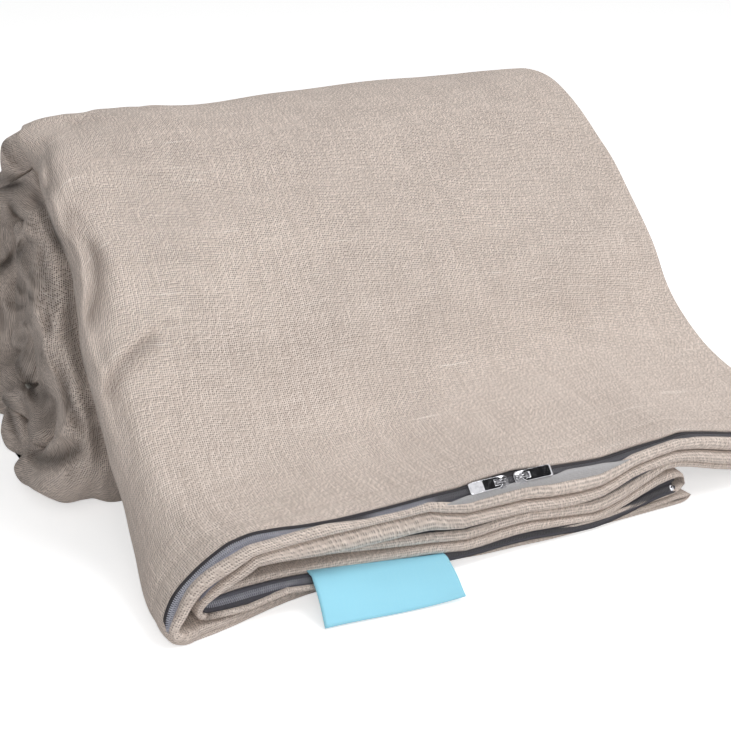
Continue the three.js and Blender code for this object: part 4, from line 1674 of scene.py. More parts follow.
    def seen(self, points: np.ndarray, directions: np.ndarray) -> np.ndarray:
        """Marks the points that the camera sees.

        Args:
            points: The surface, by station and by column.
            directions: Its directions outward.

        Returns:
            Whether each point is seen.
        """
        towards = unit(np.array(self.camera.place) - points)
        facing = (towards * directions).sum(-1) > 0.03
        depth = np.linalg.norm(points - np.array(self.camera.place), axis=-1)
        cells = np.floor(self.camera.pixels(points) / self.map_cell).astype(int)
        cells = np.clip(cells, 0, self.map_size - 1)
        nearest = np.full((self.map_size, self.map_size), np.inf)
        np.minimum.at(nearest, (cells[..., 0], cells[..., 1]), depth)
        return facing & (depth < nearest[cells[..., 0], cells[..., 1]] + self.seen_slack)

    def shape_hem(self) -> None:
        """Gives the top panel's foot hem its stitched dip and its crown."""
        directions = self.normals(self.top, self.under)
        along = self.stations.along[:, None]
        dip = np.exp(-(((along - self.hem_width) / 1.3) ** 2)) * self.hem_dip
        crown = np.exp(-(((along - 0.45 * self.hem_width) / 3.2) ** 2)) * self.hem_crown
        self.top += directions * (crown - dip)[..., None]
        self.keep_up()

    def hem_rows(self, panel: Panel) -> tuple[np.ndarray, np.ndarray]:
        """Turns a panel's foot edge in under itself.

        Args:
            panel: The panel.

        Returns:
            The rows of points from inside the layer to the edge, and each row's distance.
        """
        top = panel is Panel.TOP
        edge, other = (self.top[0], self.under[0]) if top else (self.under[0], self.top[0])
        roll = self.foot.read(self.foot.hems[panel], self.columns, edge[:, 0])
        roll = roll * self.fold.opening(self.columns)
        inward = (other - edge) * [1.0, 0.0, 1.0]
        run = unit(soften(np.gradient(edge, axis=0) * [1.0, 0.0, 1.0], 1.5))
        inward = unit(soften(unit(inward - run * (inward * run).sum(-1, keepdims=True)), 1.5))
        forward = np.array([0.0, -1.0, 0.0])
        rows, at = [], []
        for back, share in ((13.0, 0.28), (7.0, 0.46), (3.0, 0.8)):
            rows.append(edge + inward * (roll * share)[:, None] - forward * back)
            at.append(-back - 7.0)
        for turn in np.radians([180, 152, 124, 96, 68, 40, 18]):
            lift = (roll / 2 * (1 - math.cos(turn)))[:, None]
            out = (roll / 2 * math.sin(turn))[:, None]
            rows.append(edge + inward * lift + forward * out)
            at.append(-2.2 * turn)
        return np.maximum(rows, [-np.inf, -np.inf, self.lowest]), np.array(at)

    def threads(self, rows: np.ndarray, across: np.ndarray) -> np.ndarray:
        """Follows the threads along rows of points, so that the weave keeps its pitch.

        Args:
            rows: The points, by row and by column.
            across: Each column's place across the flat cloth, true at the middle of each layer.

        Returns:
            Each point's place across the flat cloth.
        """
        steps = np.linalg.norm(np.diff(rows, axis=1), axis=-1)
        run = np.pad(np.cumsum(steps, axis=1), ((0, 0), (1, 0)))
        layers = (Stretch.THIRD, Stretch.SECOND, Stretch.FIRST, Stretch.FOURTH)
        pins = [self.columns.middle(part) for part in layers]
        shift = across[pins] - run[:, pins]
        return run + np.stack([np.interp(across, across[pins], row) for row in shift])

    def panel_mesh(self, panel: Panel, name: str) -> bpy.types.Object:
        """Makes one linen panel with its turned-in foot hem.

        Args:
            panel: The panel.
            name: The object's name.

        Returns:
            The panel's mesh object.
        """
        points = self.top if panel is Panel.TOP else self.under
        hem, hem_at = self.hem_rows(panel)
        rows = np.concatenate([hem, points])
        faces = grid_faces(*rows.shape[:2], turned=panel is Panel.BOTTOM)
        thing = make_object(name, rows.reshape(-1, 3), faces)
        across = lengths_along(self.fold.flat(self.columns, float(panel.value)))
        laid = self.laid[panel]
        steps = np.linalg.norm(np.diff(laid, axis=0), axis=-1)
        down = np.pad(np.cumsum(steps, axis=0), ((1, 0), (0, 0)))
        along = np.concatenate([np.repeat(hem_at[:, None], len(across), axis=1), down])
        flat = np.concatenate([self.threads(hem, across), self.threads(laid, across)])
        lay_uv(thing, np.stack([flat, along], -1).reshape(-1, 2))
        # Painted shade from the creases, none on the turned-in hem.
        shade = self.shades["top" if panel is Panel.TOP else "under"]
        lay_shade(thing, np.concatenate([np.zeros(hem.shape[:2]), shade]))
        return thing

    def between(self, share: float | np.ndarray, rows: np.ndarray, columns: np.ndarray) -> np.ndarray:
        """Gives points inside the layers.

        Args:
            share: From 0 on the top panel to 1 on the bottom panel.
            rows: The stations to use.
            columns: The columns to use.

        Returns:
            The points, by station and by column.
        """
        share = np.asarray(share, float)
        share = share[..., None] if share.ndim else share
        pick = np.ix_(rows, columns)
        return mix(self.top[pick], self.under[pick], share)

    def inside(self, start: float, depth: float) -> tuple[np.ndarray, np.ndarray, np.ndarray, np.ndarray]:
        """Picks the stations and columns of a piece that lies between the panels.

        Args:
            start: How far from the foot edge the piece begins.
            depth: From 0 on a layer's top panel to 1 on its bottom panel.

        Returns:
            The stations, the columns, and their places across and along the flat cloth.
        """
        distance = self.stations.along
        rows = np.flatnonzero((distance > start) & (distance < distance[-1] - self.piece_inset))
        columns = np.arange(4, len(self.columns.share) - 4)
        across = lengths_along(self.fold.flat(self.columns, depth))[columns][None]
        return rows, columns, across, distance[rows][:, None]

    def filling_mesh(self, name: str) -> bpy.types.Object:
        """Makes the quilted filling as one closed pad.

        Args:
            name: The object's name.

        Returns:
            The filling's mesh object.
        """
        rows, columns, across, along = self.inside(26.0, 0.5)
        puff = np.abs(np.sin(np.pi * across / self.quilting) * np.sin(np.pi * along / self.quilting)) ** 0.3
        upper = self.sunk(self.between(0.47 - 0.1 * puff, rows, columns))
        lower = self.sunk(self.between(0.5 + 0.1 * puff, rows, columns))
        count_r, count_c = upper.shape[:2]
        size = count_r * count_c
        index = np.arange(size).reshape(count_r, count_c)
        faces = [grid_faces(count_r, count_c), grid_faces(count_r, count_c, turned=True) + size]
        border = np.concatenate([index[0, :-1], index[:-1, -1], index[-1, :0:-1], index[:0:-1, 0]])
        following = np.roll(border, -1)
        faces.append(np.stack([following, border, border + size, following + size], 1))
        points = np.concatenate([upper.reshape(-1, 3), lower.reshape(-1, 3)])
        thing = make_object(name, points, np.concatenate(faces))
        flat = np.stack(np.broadcast_arrays(across, along), -1).reshape(-1, 2)
        lay_uv(thing, np.tile(flat, (2, 1)))
        return thing

    def pad_mesh(self, name: str) -> bpy.types.Object:
        """Makes the water tube pad, with its channels raised.

        Args:
            name: The object's name.

        Returns:
            The pad's mesh object.
        """
        rows, columns, across, along = self.inside(24.0, self.pad_depth)
        wave = np.cos(2 * np.pi * across / self.channel_pitch)
        channel = np.clip(wave * 1.6, 0.0, 1.0) * np.ones_like(along)
        points = self.sunk(self.between(self.pad_depth - self.channel_rise * channel, rows, columns))
        thing = make_object(name, points.reshape(-1, 3), grid_faces(*points.shape[:2]))
        lay_uv(thing, np.stack(np.broadcast_arrays(across, along), -1).reshape(-1, 2))
        return thing

    def build(self, finishes: Finishes) -> None:
        """Makes and dresses the panels, the filling and the pad.

        Args:
            finishes: The materials.
        """
        top = self.panel_mesh(Panel.TOP, "linen_top_panel")
        dress(top, finishes.linen, self.cover_body)
        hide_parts("cover_top_panel")
        under = self.panel_mesh(Panel.BOTTOM, "linen_bottom_panel")
        dress(under, finishes.linen, self.cover_body)
        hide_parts("cover_bottom_panel")
        filling = self.filling_mesh("quilted_filling")
        dress(filling, finishes.wadding, self.cover_body)
        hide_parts("weighted_fill_layer")
        pad = self.pad_mesh("water_channel_pad")
        dress(pad, finishes.pad, self.cover_body)
        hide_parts("water_tube_pad")
        width = lengths_along(self.fold.flat(self.columns, 0.5))[-1]


# The zipper


class Side(Enum):
    """Which half of the chain a piece belongs to: the top panel's or the bottom panel's."""

    UPPER = 1
    LOWER = -1


@dataclass
class ChainLine:
    """The chain's middle line and the directions along it, one row for each place.

    Args:
        middle: The chain's middle.
        up: Across the chain, towards the top panel.
        out: Out of the chain's face.
        along: Along the chain.
    """

    middle: np.ndarray
    up: np.ndarray
    out: np.ndarray
    along: np.ndarray

    def at(self, spacing: float, start: float, end: float) -> ChainLine:
        """Reads the line at even spaces.

        Args:
            spacing: The distance between two places.
            start: Where the first place lies.
            end: How far before the line's end the last place lies.

        Returns:
            The same line at the new places.
        """
        length = lengths_along(self.middle)[-1]
        places = np.arange(start, length - end, spacing)
        rows = resample_rows(self.middle, [self.middle, self.up, self.out, self.along], places)
        return ChainLine(rows[0], unit(rows[1]), unit(rows[2]), unit(rows[3]))


def resample_rows(line: np.ndarray, values: Sequence[np.ndarray], at: np.ndarray) -> list[np.ndarray]:
    """Reads several sets of rows at distances along a line.

    Args:
        line: The line that the distances follow.
        values: Sets of rows, one row for each of the line's points.
        at: Distances along the line.

    Returns:
        Each set at those distances.
    """
    along = lengths_along(line)
    return [np.stack([np.interp(at, along, v[:, k]) for k in range(v.shape[1])], 1) for v in values]


@dataclass
class Zipper:
    """The zipper round the foot edge: two tapes, two coils, two stops and the guard strip.

    Args:
        quilt: The panels that it is sewn to.
    """

    quilt: Quilt
    tilt: float = 45.0
    chain_front: float = 2.9
    third_front: float = 8.0
    first_drop: tuple = (
        (189, 3.8), (123, 3.6), (103, 3.6), (87, 3.4), (75, 3.2), (67, 3.0), (57, 3.2), (36, 3.4),
        (7, 3.6), (-12, 4.9), (-25, 4.5), (-40, 3.5), (-50, 3.4), (-104, 3.4), (-130, 2.3), (-159, 1.8),
    )
    third_drop: tuple = (
        (88, 8.2), (75, 8.0), (51, 6.5), (0, 5.6), (-61, 6.0), (-100, 7.0), (-121, 6.0), (-127, 5.0),
        (-132, 4.2), (-137, 4.2), (-142, 5.6), (-146, 7.2), (-156, 6.8), (-169, 4.6),
    )
    loop_drop: float = 1.9
    loop_front: float = 1.2
    loop_back: float = 2.4
    hidden_back: float = 4.0
    tape_thickness: float = 0.4
    tape_flat: float = 1.2
    tape_back: float = 0.35
    tape_tuck: float = 9.0
    tape_points: int = 620
    tape_across: tuple[int, ...] = (0, 1, 2, 4, 6, 10, 15)
    tooth_pitch: float = 0.92
    tooth_width: float = 0.72
    tooth_height: float = 1.1
    coil_edge: float = 1.5
    end_inset: float = 9.0
    stop_length: float = 2.6
    stop_height: float = 0.95
    guard_from: float = -56.0
    guard_to: float = 50.0
    guard_thickness: float = 2.2
    # Painted shade on the upper tape, the coils and the lower tape, by place along X, for the first layer's
    # chain and the third's: darkest where they lie under the hems.
    first_shades: tuple = (
        ((-190, 1.0), (190, 1.0)),
        ((-126, 0.0), (-118, 0.9), (-98, 0.9), (-90, 0.35), (-66, 0.3), (-58, 0.8), (190, 0.8)),
        ((-128, 0.0), (-118, 0.9), (-98, 0.9), (-90, 0.15), (-66, 0.1), (-56, 0.85), (190, 0.85)),
    )
    third_shades: tuple = (
        ((-172, 0.5), (-150, 0.55), (-128, 0.7), (-112, 0.95), (190, 0.95)),
        ((-172, 0.2), (-134, 0.3), (-118, 0.9), (190, 0.9)),
        ((-172, 0.9), (190, 0.9)),
    )
    line: ChainLine = field(init=False)

    def __post_init__(self) -> None:
        """Works out the chain's line."""
        self.line = self.chain()

    def inward(self) -> tuple[np.ndarray, np.ndarray]:
        """Gives the direction from the top panel to the bottom one, and their distance."""
        gap = self.quilt.under_edge - self.quilt.top_edge
        gap[:, 1] = 0
        return soften(unit(gap), 1.2), np.linalg.norm(gap, axis=1)

    def chain(self) -> ChainLine:
        """Works out the chain's line over all the quilt's columns."""
        quilt = self.quilt
        columns, top = quilt.columns, quilt.top_edge
        inward, gap = self.inward()
        inward = unit(inward)
        x = top[:, 0]
        drop = gap / 2
        for stretch, rows in ((Stretch.FIRST, self.first_drop), (Stretch.THIRD, self.third_drop)):
            on = columns.on(stretch)
            drop[on] = table(rows, x[on])
        drop[columns.on(Stretch.OUTER_LOOP)] = self.loop_drop
        front = quilt.fronts[0] + self.chain_front
        under_front = quilt.fronts[1]
        loop = columns.on(Stretch.OUTER_LOOP)
        left = np.where(columns.on(Stretch.FIRST), 1 - smooth_step(-150.0, -112.0, x), loop)
        front = front - left * (self.chain_front - self.loop_front)
        front = np.where(loop, np.minimum(front, under_front - self.loop_back), front)
        hidden = columns.on(Stretch.SECOND) | columns.on(Stretch.FOURTH) | columns.on(Stretch.RIGHT_FOLD)
        front = np.where(hidden, np.minimum(front, under_front - self.hidden_back), front)
        front = np.where(columns.on(Stretch.THIRD), np.minimum(front, self.third_front), front)
        middle = top + inward * drop[:, None]
        middle[:, 1] = quilt.plane.y_at(middle[:, 0], front)
        middle = soften(middle, 1.3)
        along = unit(np.gradient(middle, axis=0))
        tilt = math.radians(self.tilt)
        forward = np.array([[0.0, -1.0, 0.0]])
        out = forward * math.cos(tilt) - inward * math.sin(tilt)
        out = unit(out - along * (out * along).sum(-1, keepdims=True))
        up = np.cross(out, along)
        side = np.sign((up * inward).sum(-1, keepdims=True))
        return ChainLine(middle, -up * side, out, along)

    def tape_rows(self, side: Side) -> list[np.ndarray]:
        """Gives the lines of a tape, from the chain to its tucked edge.

        Args:
            side: The tape's side.

        Returns:
            Lines with one point for each column.
        """
        quilt, line = self.quilt, self.line
        upper = side is Side.UPPER
        edge = (quilt.top_edge if upper else quilt.under_edge).copy()
        sizes = quilt.foot.hems[Panel.TOP if upper else Panel.BOTTOM]
        roll = quilt.foot.read(sizes, quilt.columns, edge[:, 0])
        inward, gap = self.inward()
        room = np.maximum(gap - (2.8 if upper else 3.4), 0.8)
        depth = np.minimum(roll + 0.45, room)[:, None]
        away = inward if upper else -inward
        back = np.array([[0.0, 1.0, 0.0]])
        base = line.middle - line.out * self.tape_back
        start = base + line.up * (side.value * (self.coil_edge - 0.5))
        flat = base + line.up * (side.value * (self.coil_edge + self.tape_flat))
        lip = edge + away * depth + back * (-0.4 if upper else 0.7)
        under = edge + away * (depth * 0.9) + back * 3.5
        tucked = edge + away * (depth * 0.78) + back * self.tape_tuck
        bend = (flat + lip) / 2 + line.out * (0.25 if upper else 0.15)
        return [start, (start + flat) / 2, flat, bend, lip, under, tucked]

    def darken(self, thing: bpy.types.Object, part: int) -> None:
        """Paints the shade that a piece lies in.

        Args:
            thing: The piece.
            part: 0 for the upper tape, 1 for a coil and 2 for the lower tape.
        """
        x, _, z = (np.array([tuple(v.co) for v in thing.data.vertices]) / MM).T
        outer = np.maximum(smooth_step(12.0, 18.0, z), 1 - smooth_step(-181.0, -178.0, x))
        lay_shade(thing, mix(table(self.third_shades[part], x), table(self.first_shades[part], x), outer))

    def build_tape(self, side: Side, finishes: Finishes) -> bpy.types.Object:
        """Makes a tape.

        Args:
            side: The tape's side.
            finishes: The materials.

        Returns:
            The tape.
        """
        rows = self.tape_rows(side)
        rows = [row[3:-3] for row in rows]
        rows = [resample(row, np.linspace(0, lengths_along(row)[-1], self.tape_points)) for row in rows]
        rows = [np.maximum(row, [-np.inf, -np.inf, self.tape_thickness]) for row in rows]
        tape = ribbon(f"zipper_tape_{side.name.lower()}_cloth", rows, self.tape_across)
        self.darken(tape, 0 if side is Side.UPPER else 2)
        thicken(tape, self.tape_thickness)
        dress(tape, finishes.tape, self.quilt.cover_body)
        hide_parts(f"zipper_tape_{side.name.lower()}")
        return tape

    def build_coil(self, side: Side, finishes: Finishes) -> bpy.types.Object:
        """Makes one side's coil as a row of rounded turns that mesh with the other side's.

        Args:
            side: The coil's side.
            finishes: The materials.

        Returns:
            The coil.
        """
        shift = 0.0 if side is Side.UPPER else self.tooth_pitch / 2
        inset = self.end_inset + self.stop_length
        line = self.line.at(self.tooth_pitch, inset + shift, inset)
        reach = np.array([-0.3, -0.05, 0.55, 1.1, self.coil_edge - 0.1, self.coil_edge])
        swell = np.array([0.45, 0.85, 1.0, 0.95, 0.8, 0.5])
        turn = np.radians(np.arange(0, 360, 60) + 30)
        ring_along = np.cos(turn) * self.tooth_width / 2
        ring_out = np.sin(turn) * self.tooth_height / 2
        u = np.repeat(reach, 6) * side.value
        a = (swell[:, None] * ring_along[None]).ravel()
        o = (swell[:, None] * ring_out[None]).ravel()
        points = (
            line.middle[:, None]
            + line.up[:, None] * u[None, :, None]
            + line.along[:, None] * a[None, :, None]
            + line.out[:, None] * o[None, :, None]
        )
        one = skin(len(reach), 6)
        starts = range(0, len(line.middle) * len(u), len(u))
        faces = [[base + corner for corner in face] for base in starts for face in one]
        coil = make_object(f"zipper_coil_{side.name.lower()}_turns", points.reshape(-1, 3), faces)
        self.darken(coil, 1)
        dress(coil, finishes.coil, self.quilt.cover_body)
        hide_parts(f"zipper_coil_{side.name.lower()}")
        return coil

    def build_stop(self, first: bool, finishes: Finishes) -> bpy.types.Object:
        """Makes the crimped stop at one end of the chain.

        Args:
            first: Whether it is at the third layer's end.
            finishes: The materials.

        Returns:
            The stop.
        """
        length = lengths_along(self.line.middle)[-1]
        start = self.end_inset if first else length - self.end_inset - self.stop_length
        line = self.line.at(self.stop_length / 6, start, length - start - self.stop_length - 0.01)
        wide, high = rounded(round_angles(12), 0.6, 0.6)
        rings = []
        for k in range(len(line.middle)):
            share = k / (len(line.middle) - 1)
            swell = math.sqrt(max(0.0, 1 - (2 * share - 1) ** 4)) * 0.94 + 0.06
            u = wide * (self.coil_edge + 0.2) * swell
            o = high * self.stop_height * swell
            rings.append(line.middle[k] + line.up[k] * u[:, None] + line.out[k] * o[:, None])
        name = "zipper_stop_top_crimp" if first else "zipper_stop_end_crimp"
        stop = make_object(name, np.concatenate(rings), skin(len(rings), 12))
        dress(stop, finishes.chrome, self.quilt.cover_body)
        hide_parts("zipper_stop_first" if first else "zipper_stop_last")
        return stop

    def build_guard(self, finishes: Finishes) -> bpy.types.Object:
        """Makes the soft grey strip in front of the chain, under the sliders.

        Args:
            finishes: The materials.

        Returns:
            The strip.
        """
        quilt, line = self.quilt, self.line
        on = np.flatnonzero(quilt.columns.on(Stretch.FIRST))
        middle = line.middle[on]
        keep = on[(middle[:, 0] > self.guard_from - 4) & (middle[:, 0] < self.guard_to + 4)]
        inward, gap = self.inward()
        roll = quilt.foot.read(quilt.foot.bottom_hem, quilt.columns, quilt.under_edge[:, 0])[keep, None]
        depth = np.minimum(roll, gap[keep, None] - 3.0)
        base = quilt.under_edge[keep] - inward[keep] * (depth * 0.82) + np.array([[0.0, -0.6, 0.0]])
        x = line.middle[keep, 0:1]
        clear = smooth_step(4.0, 15.0, x) * 1.8 + (1 - smooth_step(-56.0, -47.0, x)) * 1.2
        top = line.middle[keep] - line.up[keep] * (1.95 - clear) + line.out[keep] * 1.2
        full = smooth_step(self.guard_from - 4, self.guard_from + 12, x) * (
            1 - smooth_step(self.guard_to - 16, self.guard_to + 4, x)
        )
        top = mix(base, top, 0.15 + 0.85 * full)
        out = unit(line.out[keep] * 0.7 + np.array([[0.0, -1.0, 0.0]]))
        rows = []
        half = self.guard_thickness / 2
        profile = [
            (-0.35, -half), (0.25, -half), (0.7, -half), (0.93, -half * 0.8), (1.0, 0.0), (0.94, half * 0.9),
            (0.7, half + 0.25), (0.35, half + 0.3), (0.0, half), (-0.35, half * 0.6),
        ]
        for share, lift in profile:
            rows.append(base + (top - base) * share + out * lift)
        fine = np.linspace(0, 1, 150)
        rows = [resample(row, fine * lengths_along(row)[-1]) for row in rows]
        rows.append(rows[0])
        strip = ribbon("guard_strip_cloth", rows, list(np.linspace(0, 14, len(rows))))
        dress(strip, finishes.guard, quilt.cover_body)
        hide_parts("zipper_guard_strip")
        return strip

    def build(self, finishes: Finishes) -> None:
        """Makes and dresses the whole zipper.

        Args:
            finishes: The materials.
        """
        for side in Side:
            self.build_tape(side, finishes)
            self.build_coil(side, finishes)
        self.build_stop(True, finishes)
        self.build_stop(False, finishes)
        self.build_guard(finishes)


# The sliders


@dataclass(frozen=True)
class SliderPlace:
    """Where a slider stands.

    Args:
        side: Left or right.
        origin: The chain's middle inside it.
        along: The direction that its pull lies in.
        up: Across the chain.
        out: Out of the chain's face.
    """

    side: str
    origin: tuple[float, float, float]
    along: tuple[float, float, float]
    up: tuple[float, float, float]
    out: tuple[float, float, float]

    def matrix(self) -> Matrix:
        """Gives the turn and the place, in metres."""
        turn = Matrix((self.along, self.up, self.out)).transposed().to_4x4()
        return Matrix.Translation(Vector(self.origin) * MM) @ turn


@dataclass
class Sliders:
    """The two chrome sliders with their pulls, which lie outward."""

    places: tuple[SliderPlace, ...] = (
        SliderPlace(
            "left", (-24.625, -155.754, 38.929), (-0.991326, 0.131424, 0.0),
            (-0.092525, -0.697914, -0.71018), (-0.093335, -0.70402, 0.70402),
        ),
        SliderPlace(
            "right", (-12.466, -157.366, 38.929), (0.991326, -0.131424, 0.0),
            (0.092525, 0.697914, 0.71018), (-0.093335, -0.70402, 0.70402),
        ),
    )
    length: float = 9.0
    width: float = 6.6
    end_width: float = 5.0
    chain_room: float = 1.0
    plate: float = 0.7
    crown: float = 0.45
    bail_span: float = 5.1
    bail_width: float = 1.6
    bail_thickness: float = 0.64
    rail_half: float = 2.9
    rail_height: float = 0.78
    rail_thickness: float = 0.5
    post_inset: float = 2.3
    hinge_height: float = 2.55
    pin_radius: float = 0.36
    pull_length: float = 17.0
    pull_width: float = 5.5
    pull_tip_width: float = 5.9
    pull_thickness: float = 0.9
    pull_bow: float = 0.25
    kink_at: float = 9.9
    kink: float = 0.11
    kink_reach: float = 0.4
    heel: float = 0.6
    pull_points_round: int = 112
    eye: float = 3.0

    def outline(self, count: int = 48) -> np.ndarray:
        """Gives the top plate's outline, wide in the middle with rounded ends."""
        along, across = rounded(round_angles(count), 0.5, 0.42)
        width = mix(self.end_width, self.width, 1 - np.abs(along) ** 2.2)
        return np.stack([along * self.length, across * width], 1) / 2

    def plate_rings(self, low: float, high: float, crown: float) -> list[np.ndarray]:
        """Gives the rings of a plate with rolled edges and a crowned face.

        Args:
            low: The height of its flat side.
            high: The height of its edge on the crowned side.
            crown: How far the middle of that side stands above the edge.

        Returns:
            The rings, from the flat side to the crowned one.
        """
        outline = self.outline()
        edge = ((0.02, 0.0), (0.9, 0.0), (0.97, 0.08), (1.0, 0.3), (1.0, 0.65), (0.965, 0.9), (0.9, 1.0))
        steps = [(share, mix(low, high, lift)) for share, lift in edge]
        steps += [(share, high + crown * (1 - (share / 0.9) ** 2)) for share in (0.75, 0.5, 0.25, 0.02)]
        return [np.column_stack([outline * share, np.full(len(outline), z)]) for share, z in steps]

    def rail(self, y: float, z: float) -> list[np.ndarray]:
        """Gives the rings of a rounded rail along one edge of a plate.

        Args:
            y: Its place across the slider.
            z: Its height.

        Returns:
            The rings, with rounded ends.
        """
        wide, deep = rounded(round_angles(12), 0.7, 0.7)
        rings = []
        for share, swell in ((0.0, 0.5), (0.06, 0.88), (0.15, 1.0), (0.85, 1.0), (0.94, 0.88), (1.0, 0.5)):
            x = np.full(12, self.rail_half * (2 * share - 1))
            size = self.rail_thickness / 2 * swell
            rings.append(np.column_stack([x, y + wide * size, z + deep * size]))
        return rings

    def body_parts(self) -> list[list[np.ndarray]]:
        """Gives the parts of a slider's body, each as rings."""
        top = self.chain_room + self.plate
        parts = [
            self.plate_rings(self.chain_room, top, self.crown),
            [ring * [1, -1, -1] for ring in self.plate_rings(self.chain_room, top, 0.15)],
        ]
        ring = round_angles(16)
        post_x = self.post_inset - self.length / 2
        post = np.column_stack([post_x + np.cos(ring) * 0.9, np.sin(ring) * 0.28, np.zeros(16)])
        reach = self.chain_room + 0.2
        parts.append([post - [0, 0, reach], post + [0, 0, reach]])
        wall = self.width / 2 - 0.28
        parts += [self.rail(y, z) for y in (-wall, wall) for z in (self.rail_height, -self.rail_height)]
        span = self.bail_span / 2
        arch = []
        high = self.hinge_height + self.pin_radius + 0.75
        wide, deep = rounded(round_angles(14), 0.7, 0.7)
        for t in np.linspace(0, np.pi, 19):
            middle = np.array([-math.cos(t) * span, 0.0, top - 0.1 + (high - top) * math.sin(t) ** 0.62])
            tangent = unit(np.array([math.sin(t) * span, 0.0, math.cos(t) * (high - top) * 1.2]))
            normal = np.cross(tangent, [0.0, 1.0, 0.0])
            flare = 1 + 0.35 * abs(math.cos(t)) ** 3
            across = np.outer(wide * self.bail_width / 2 * flare, [0.0, 1.0, 0.0])
            arch.append(middle + across + np.outer(deep * self.bail_thickness / 2, normal))
        parts.append(arch)
        for x in (-span - 0.2, span + 0.2):
            parts.append([
                np.column_stack([x + np.cos(ring) * r, np.sin(ring) * r * 1.15, np.full(16, top + z)])
                for r, z in ((1.25, 0.05), (1.2, 0.4), (0.9, 0.62), (0.1, 0.7))
            ])
        return parts

    def pull_points(self) -> tuple[np.ndarray, list[list[int]]]:
        """Gives the pull's plate with its eye, its rolled rim and its shallow dish.

        Returns:
            The points, with the hinge's pin at the origin, and the faces.
        """
        tip, eye, count = self.pull_length, self.eye, self.pull_points_round
        turn = round_angles(count) + np.pi / count
        along, across = rounded(turn, 0.2, 0.24)
        x = (tip - self.heel) / 2 + along * (tip + self.heel) / 2
        half = mix(self.pull_width, self.pull_tip_width, np.clip(x / tip, 0, 1)) / 2
        half = half * mix(0.62, 1.0, smooth_step(-self.heel, 1.4, x))
        rim = np.stack([x, across * half], 1)
        along, across = rounded(turn, 0.35, 0.35)
        inner = np.stack([eye / 2 + 0.55 + along * (eye - 0.3) / 2, across * (eye - 0.2) / 2], 1)
        thick = self.pull_thickness / 2
        face = [(share, 0.88) for share in np.linspace(0.24, 0.88, 22)]
        profile = [(0.0, 0.55), (0.05, 0.95), (0.12, 1.0), *face, (0.96, 0.95), (1.0, 0.6)]
        both = profile + [(share, -high) for share, high in reversed(profile)]
        rings = [np.column_stack([mix(rim, inner, t), np.full(count, thick * high)]) for t, high in both]
        faces = []
        total = len(rings)
        for k in range(total):
            after = (k + 1) % total
            for j in range(count):
                n = (j + 1) % count
                faces.append([k * count + j, k * count + n, after * count + n, after * count + j])
        points = np.concatenate(rings)
        past, soft = points[:, 0] - self.kink_at, self.kink_reach
        bend = np.where(past > soft, past, np.maximum(past + soft, 0.0) ** 2 / (4 * soft))
        points[:, 2] -= self.pull_bow * (points[:, 0] / tip) ** 2 + self.kink * bend
        return points, faces

    def build(self, finishes: Finishes) -> None:
        """Makes and dresses both sliders and both pulls.

        Args:
            finishes: The materials.
        """
        for place in self.places:
            matrix = place.matrix()
            points, faces = [], []
            for rings in self.body_parts():
                faces += skin(len(rings), len(rings[0]), sum(len(part) for part in points))
                points.append(np.concatenate(rings))
            body = make_object(f"slider_{place.side}_shell", np.concatenate(points), faces)
            body.data.transform(matrix)
            dress(body, finishes.casting, f"slider_{place.side}")
            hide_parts(f"slider_{place.side}_body")
            plate, plate_faces = self.pull_points()
            pull = make_object(f"slider_{place.side}_tab", plate, plate_faces)
            pull.data.transform(matrix @ Matrix.Translation((0.0, 0.0, self.hinge_height * MM)))
            dress(pull, finishes.chrome, f"slider_{place.side}_pull")
            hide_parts(f"slider_{place.side}_pull")


# The label and the water connection


@dataclass
class LoopLabel:
    """The bare satin label, two plies with a fold at the bottom, sewn in under the hem.

    Args:
        camera: The camera, which places its corners.
    """

    camera: Camera
    plane: EdgePlane = field(default_factory=EdgePlane)
    top_left: tuple[float, float] = (311.8, 576.4)
    top_right: tuple[float, float] = (447.6, 557.6)
    bottom_left: tuple[float, float] = (325.2, 629.1)
    bottom_right: tuple[float, float] = (465.8, 599.4)
    top_front: tuple[float, float] = (6.5, 10.6)
    bottom_height: tuple[float, float] = (0.55, 0.9)
    thickness: float = 0.8
    tuck: float = 7.0
    curl: float = 1.6

    def on_edge_plane(self, pixel: tuple[float, float], front: float) -> np.ndarray:
        """Finds where a pixel looks on the plane of the foot edge.

        Args:
            pixel: The pixel.
            front: How far in front of the edge the plane lies.

        Returns:
            The point.
        """
        place, ray = np.array(self.camera.place), self.camera.ray(pixel)
        over = place[1] - self.plane.y_at(place[0], front)
        return place - ray * (over / (ray[1] + self.plane.slope * ray[0]))

    def on_level(self, pixel: tuple[float, float], height: float) -> np.ndarray:
        """Finds where a pixel looks on a level plane."""
        place, ray = np.array(self.camera.place), self.camera.ray(pixel)
        return place + ray * ((height - place[2]) / ray[2])

    def build(self, finishes: Finishes) -> None:
        """Makes and dresses the label.

        Args:
            finishes: The materials.
        """
        across = np.linspace(0, 1, 41)[:, None]
        top = mix(
            self.on_edge_plane(self.top_left, self.top_front[0]),
            self.on_edge_plane(self.top_right, self.top_front[1]), across,
        )
        bottom = mix(
            self.on_level(self.bottom_left, self.bottom_height[0]),
            self.on_level(self.bottom_right, self.bottom_height[1]), across,
        )
        bow = np.array([[0.0, -0.35, 0.9]])
        rows = [top + [0.0, self.tuck, 0.6], top + [0.0, self.tuck * 0.4, 0.4]]
        for share in np.linspace(0, 1, 15):
            row = mix(top, bottom, share)
            row = row + bow * (1.5 * math.sin(math.pi * share) ** 1.3)
            wave = np.sin(across[:, 0] * 7.0 + 0.8) * 0.35 * share + np.sin(across[:, 0] * 3.1) * 0.5 * share
            row[:, 2] += wave * share + self.curl * share**4 * across[:, 0] ** 6
            row[:, 2] = np.maximum(row[:, 2], self.thickness / 2 + 0.1)
            rows.append(row)
        heights = np.concatenate([[-7, -3], np.linspace(0, 33, 15)])
        label = ribbon("satin_label", rows, list(heights))
        thicken(label, self.thickness)
        dress(label, finishes.label, "blanket")
        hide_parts("loop_label")


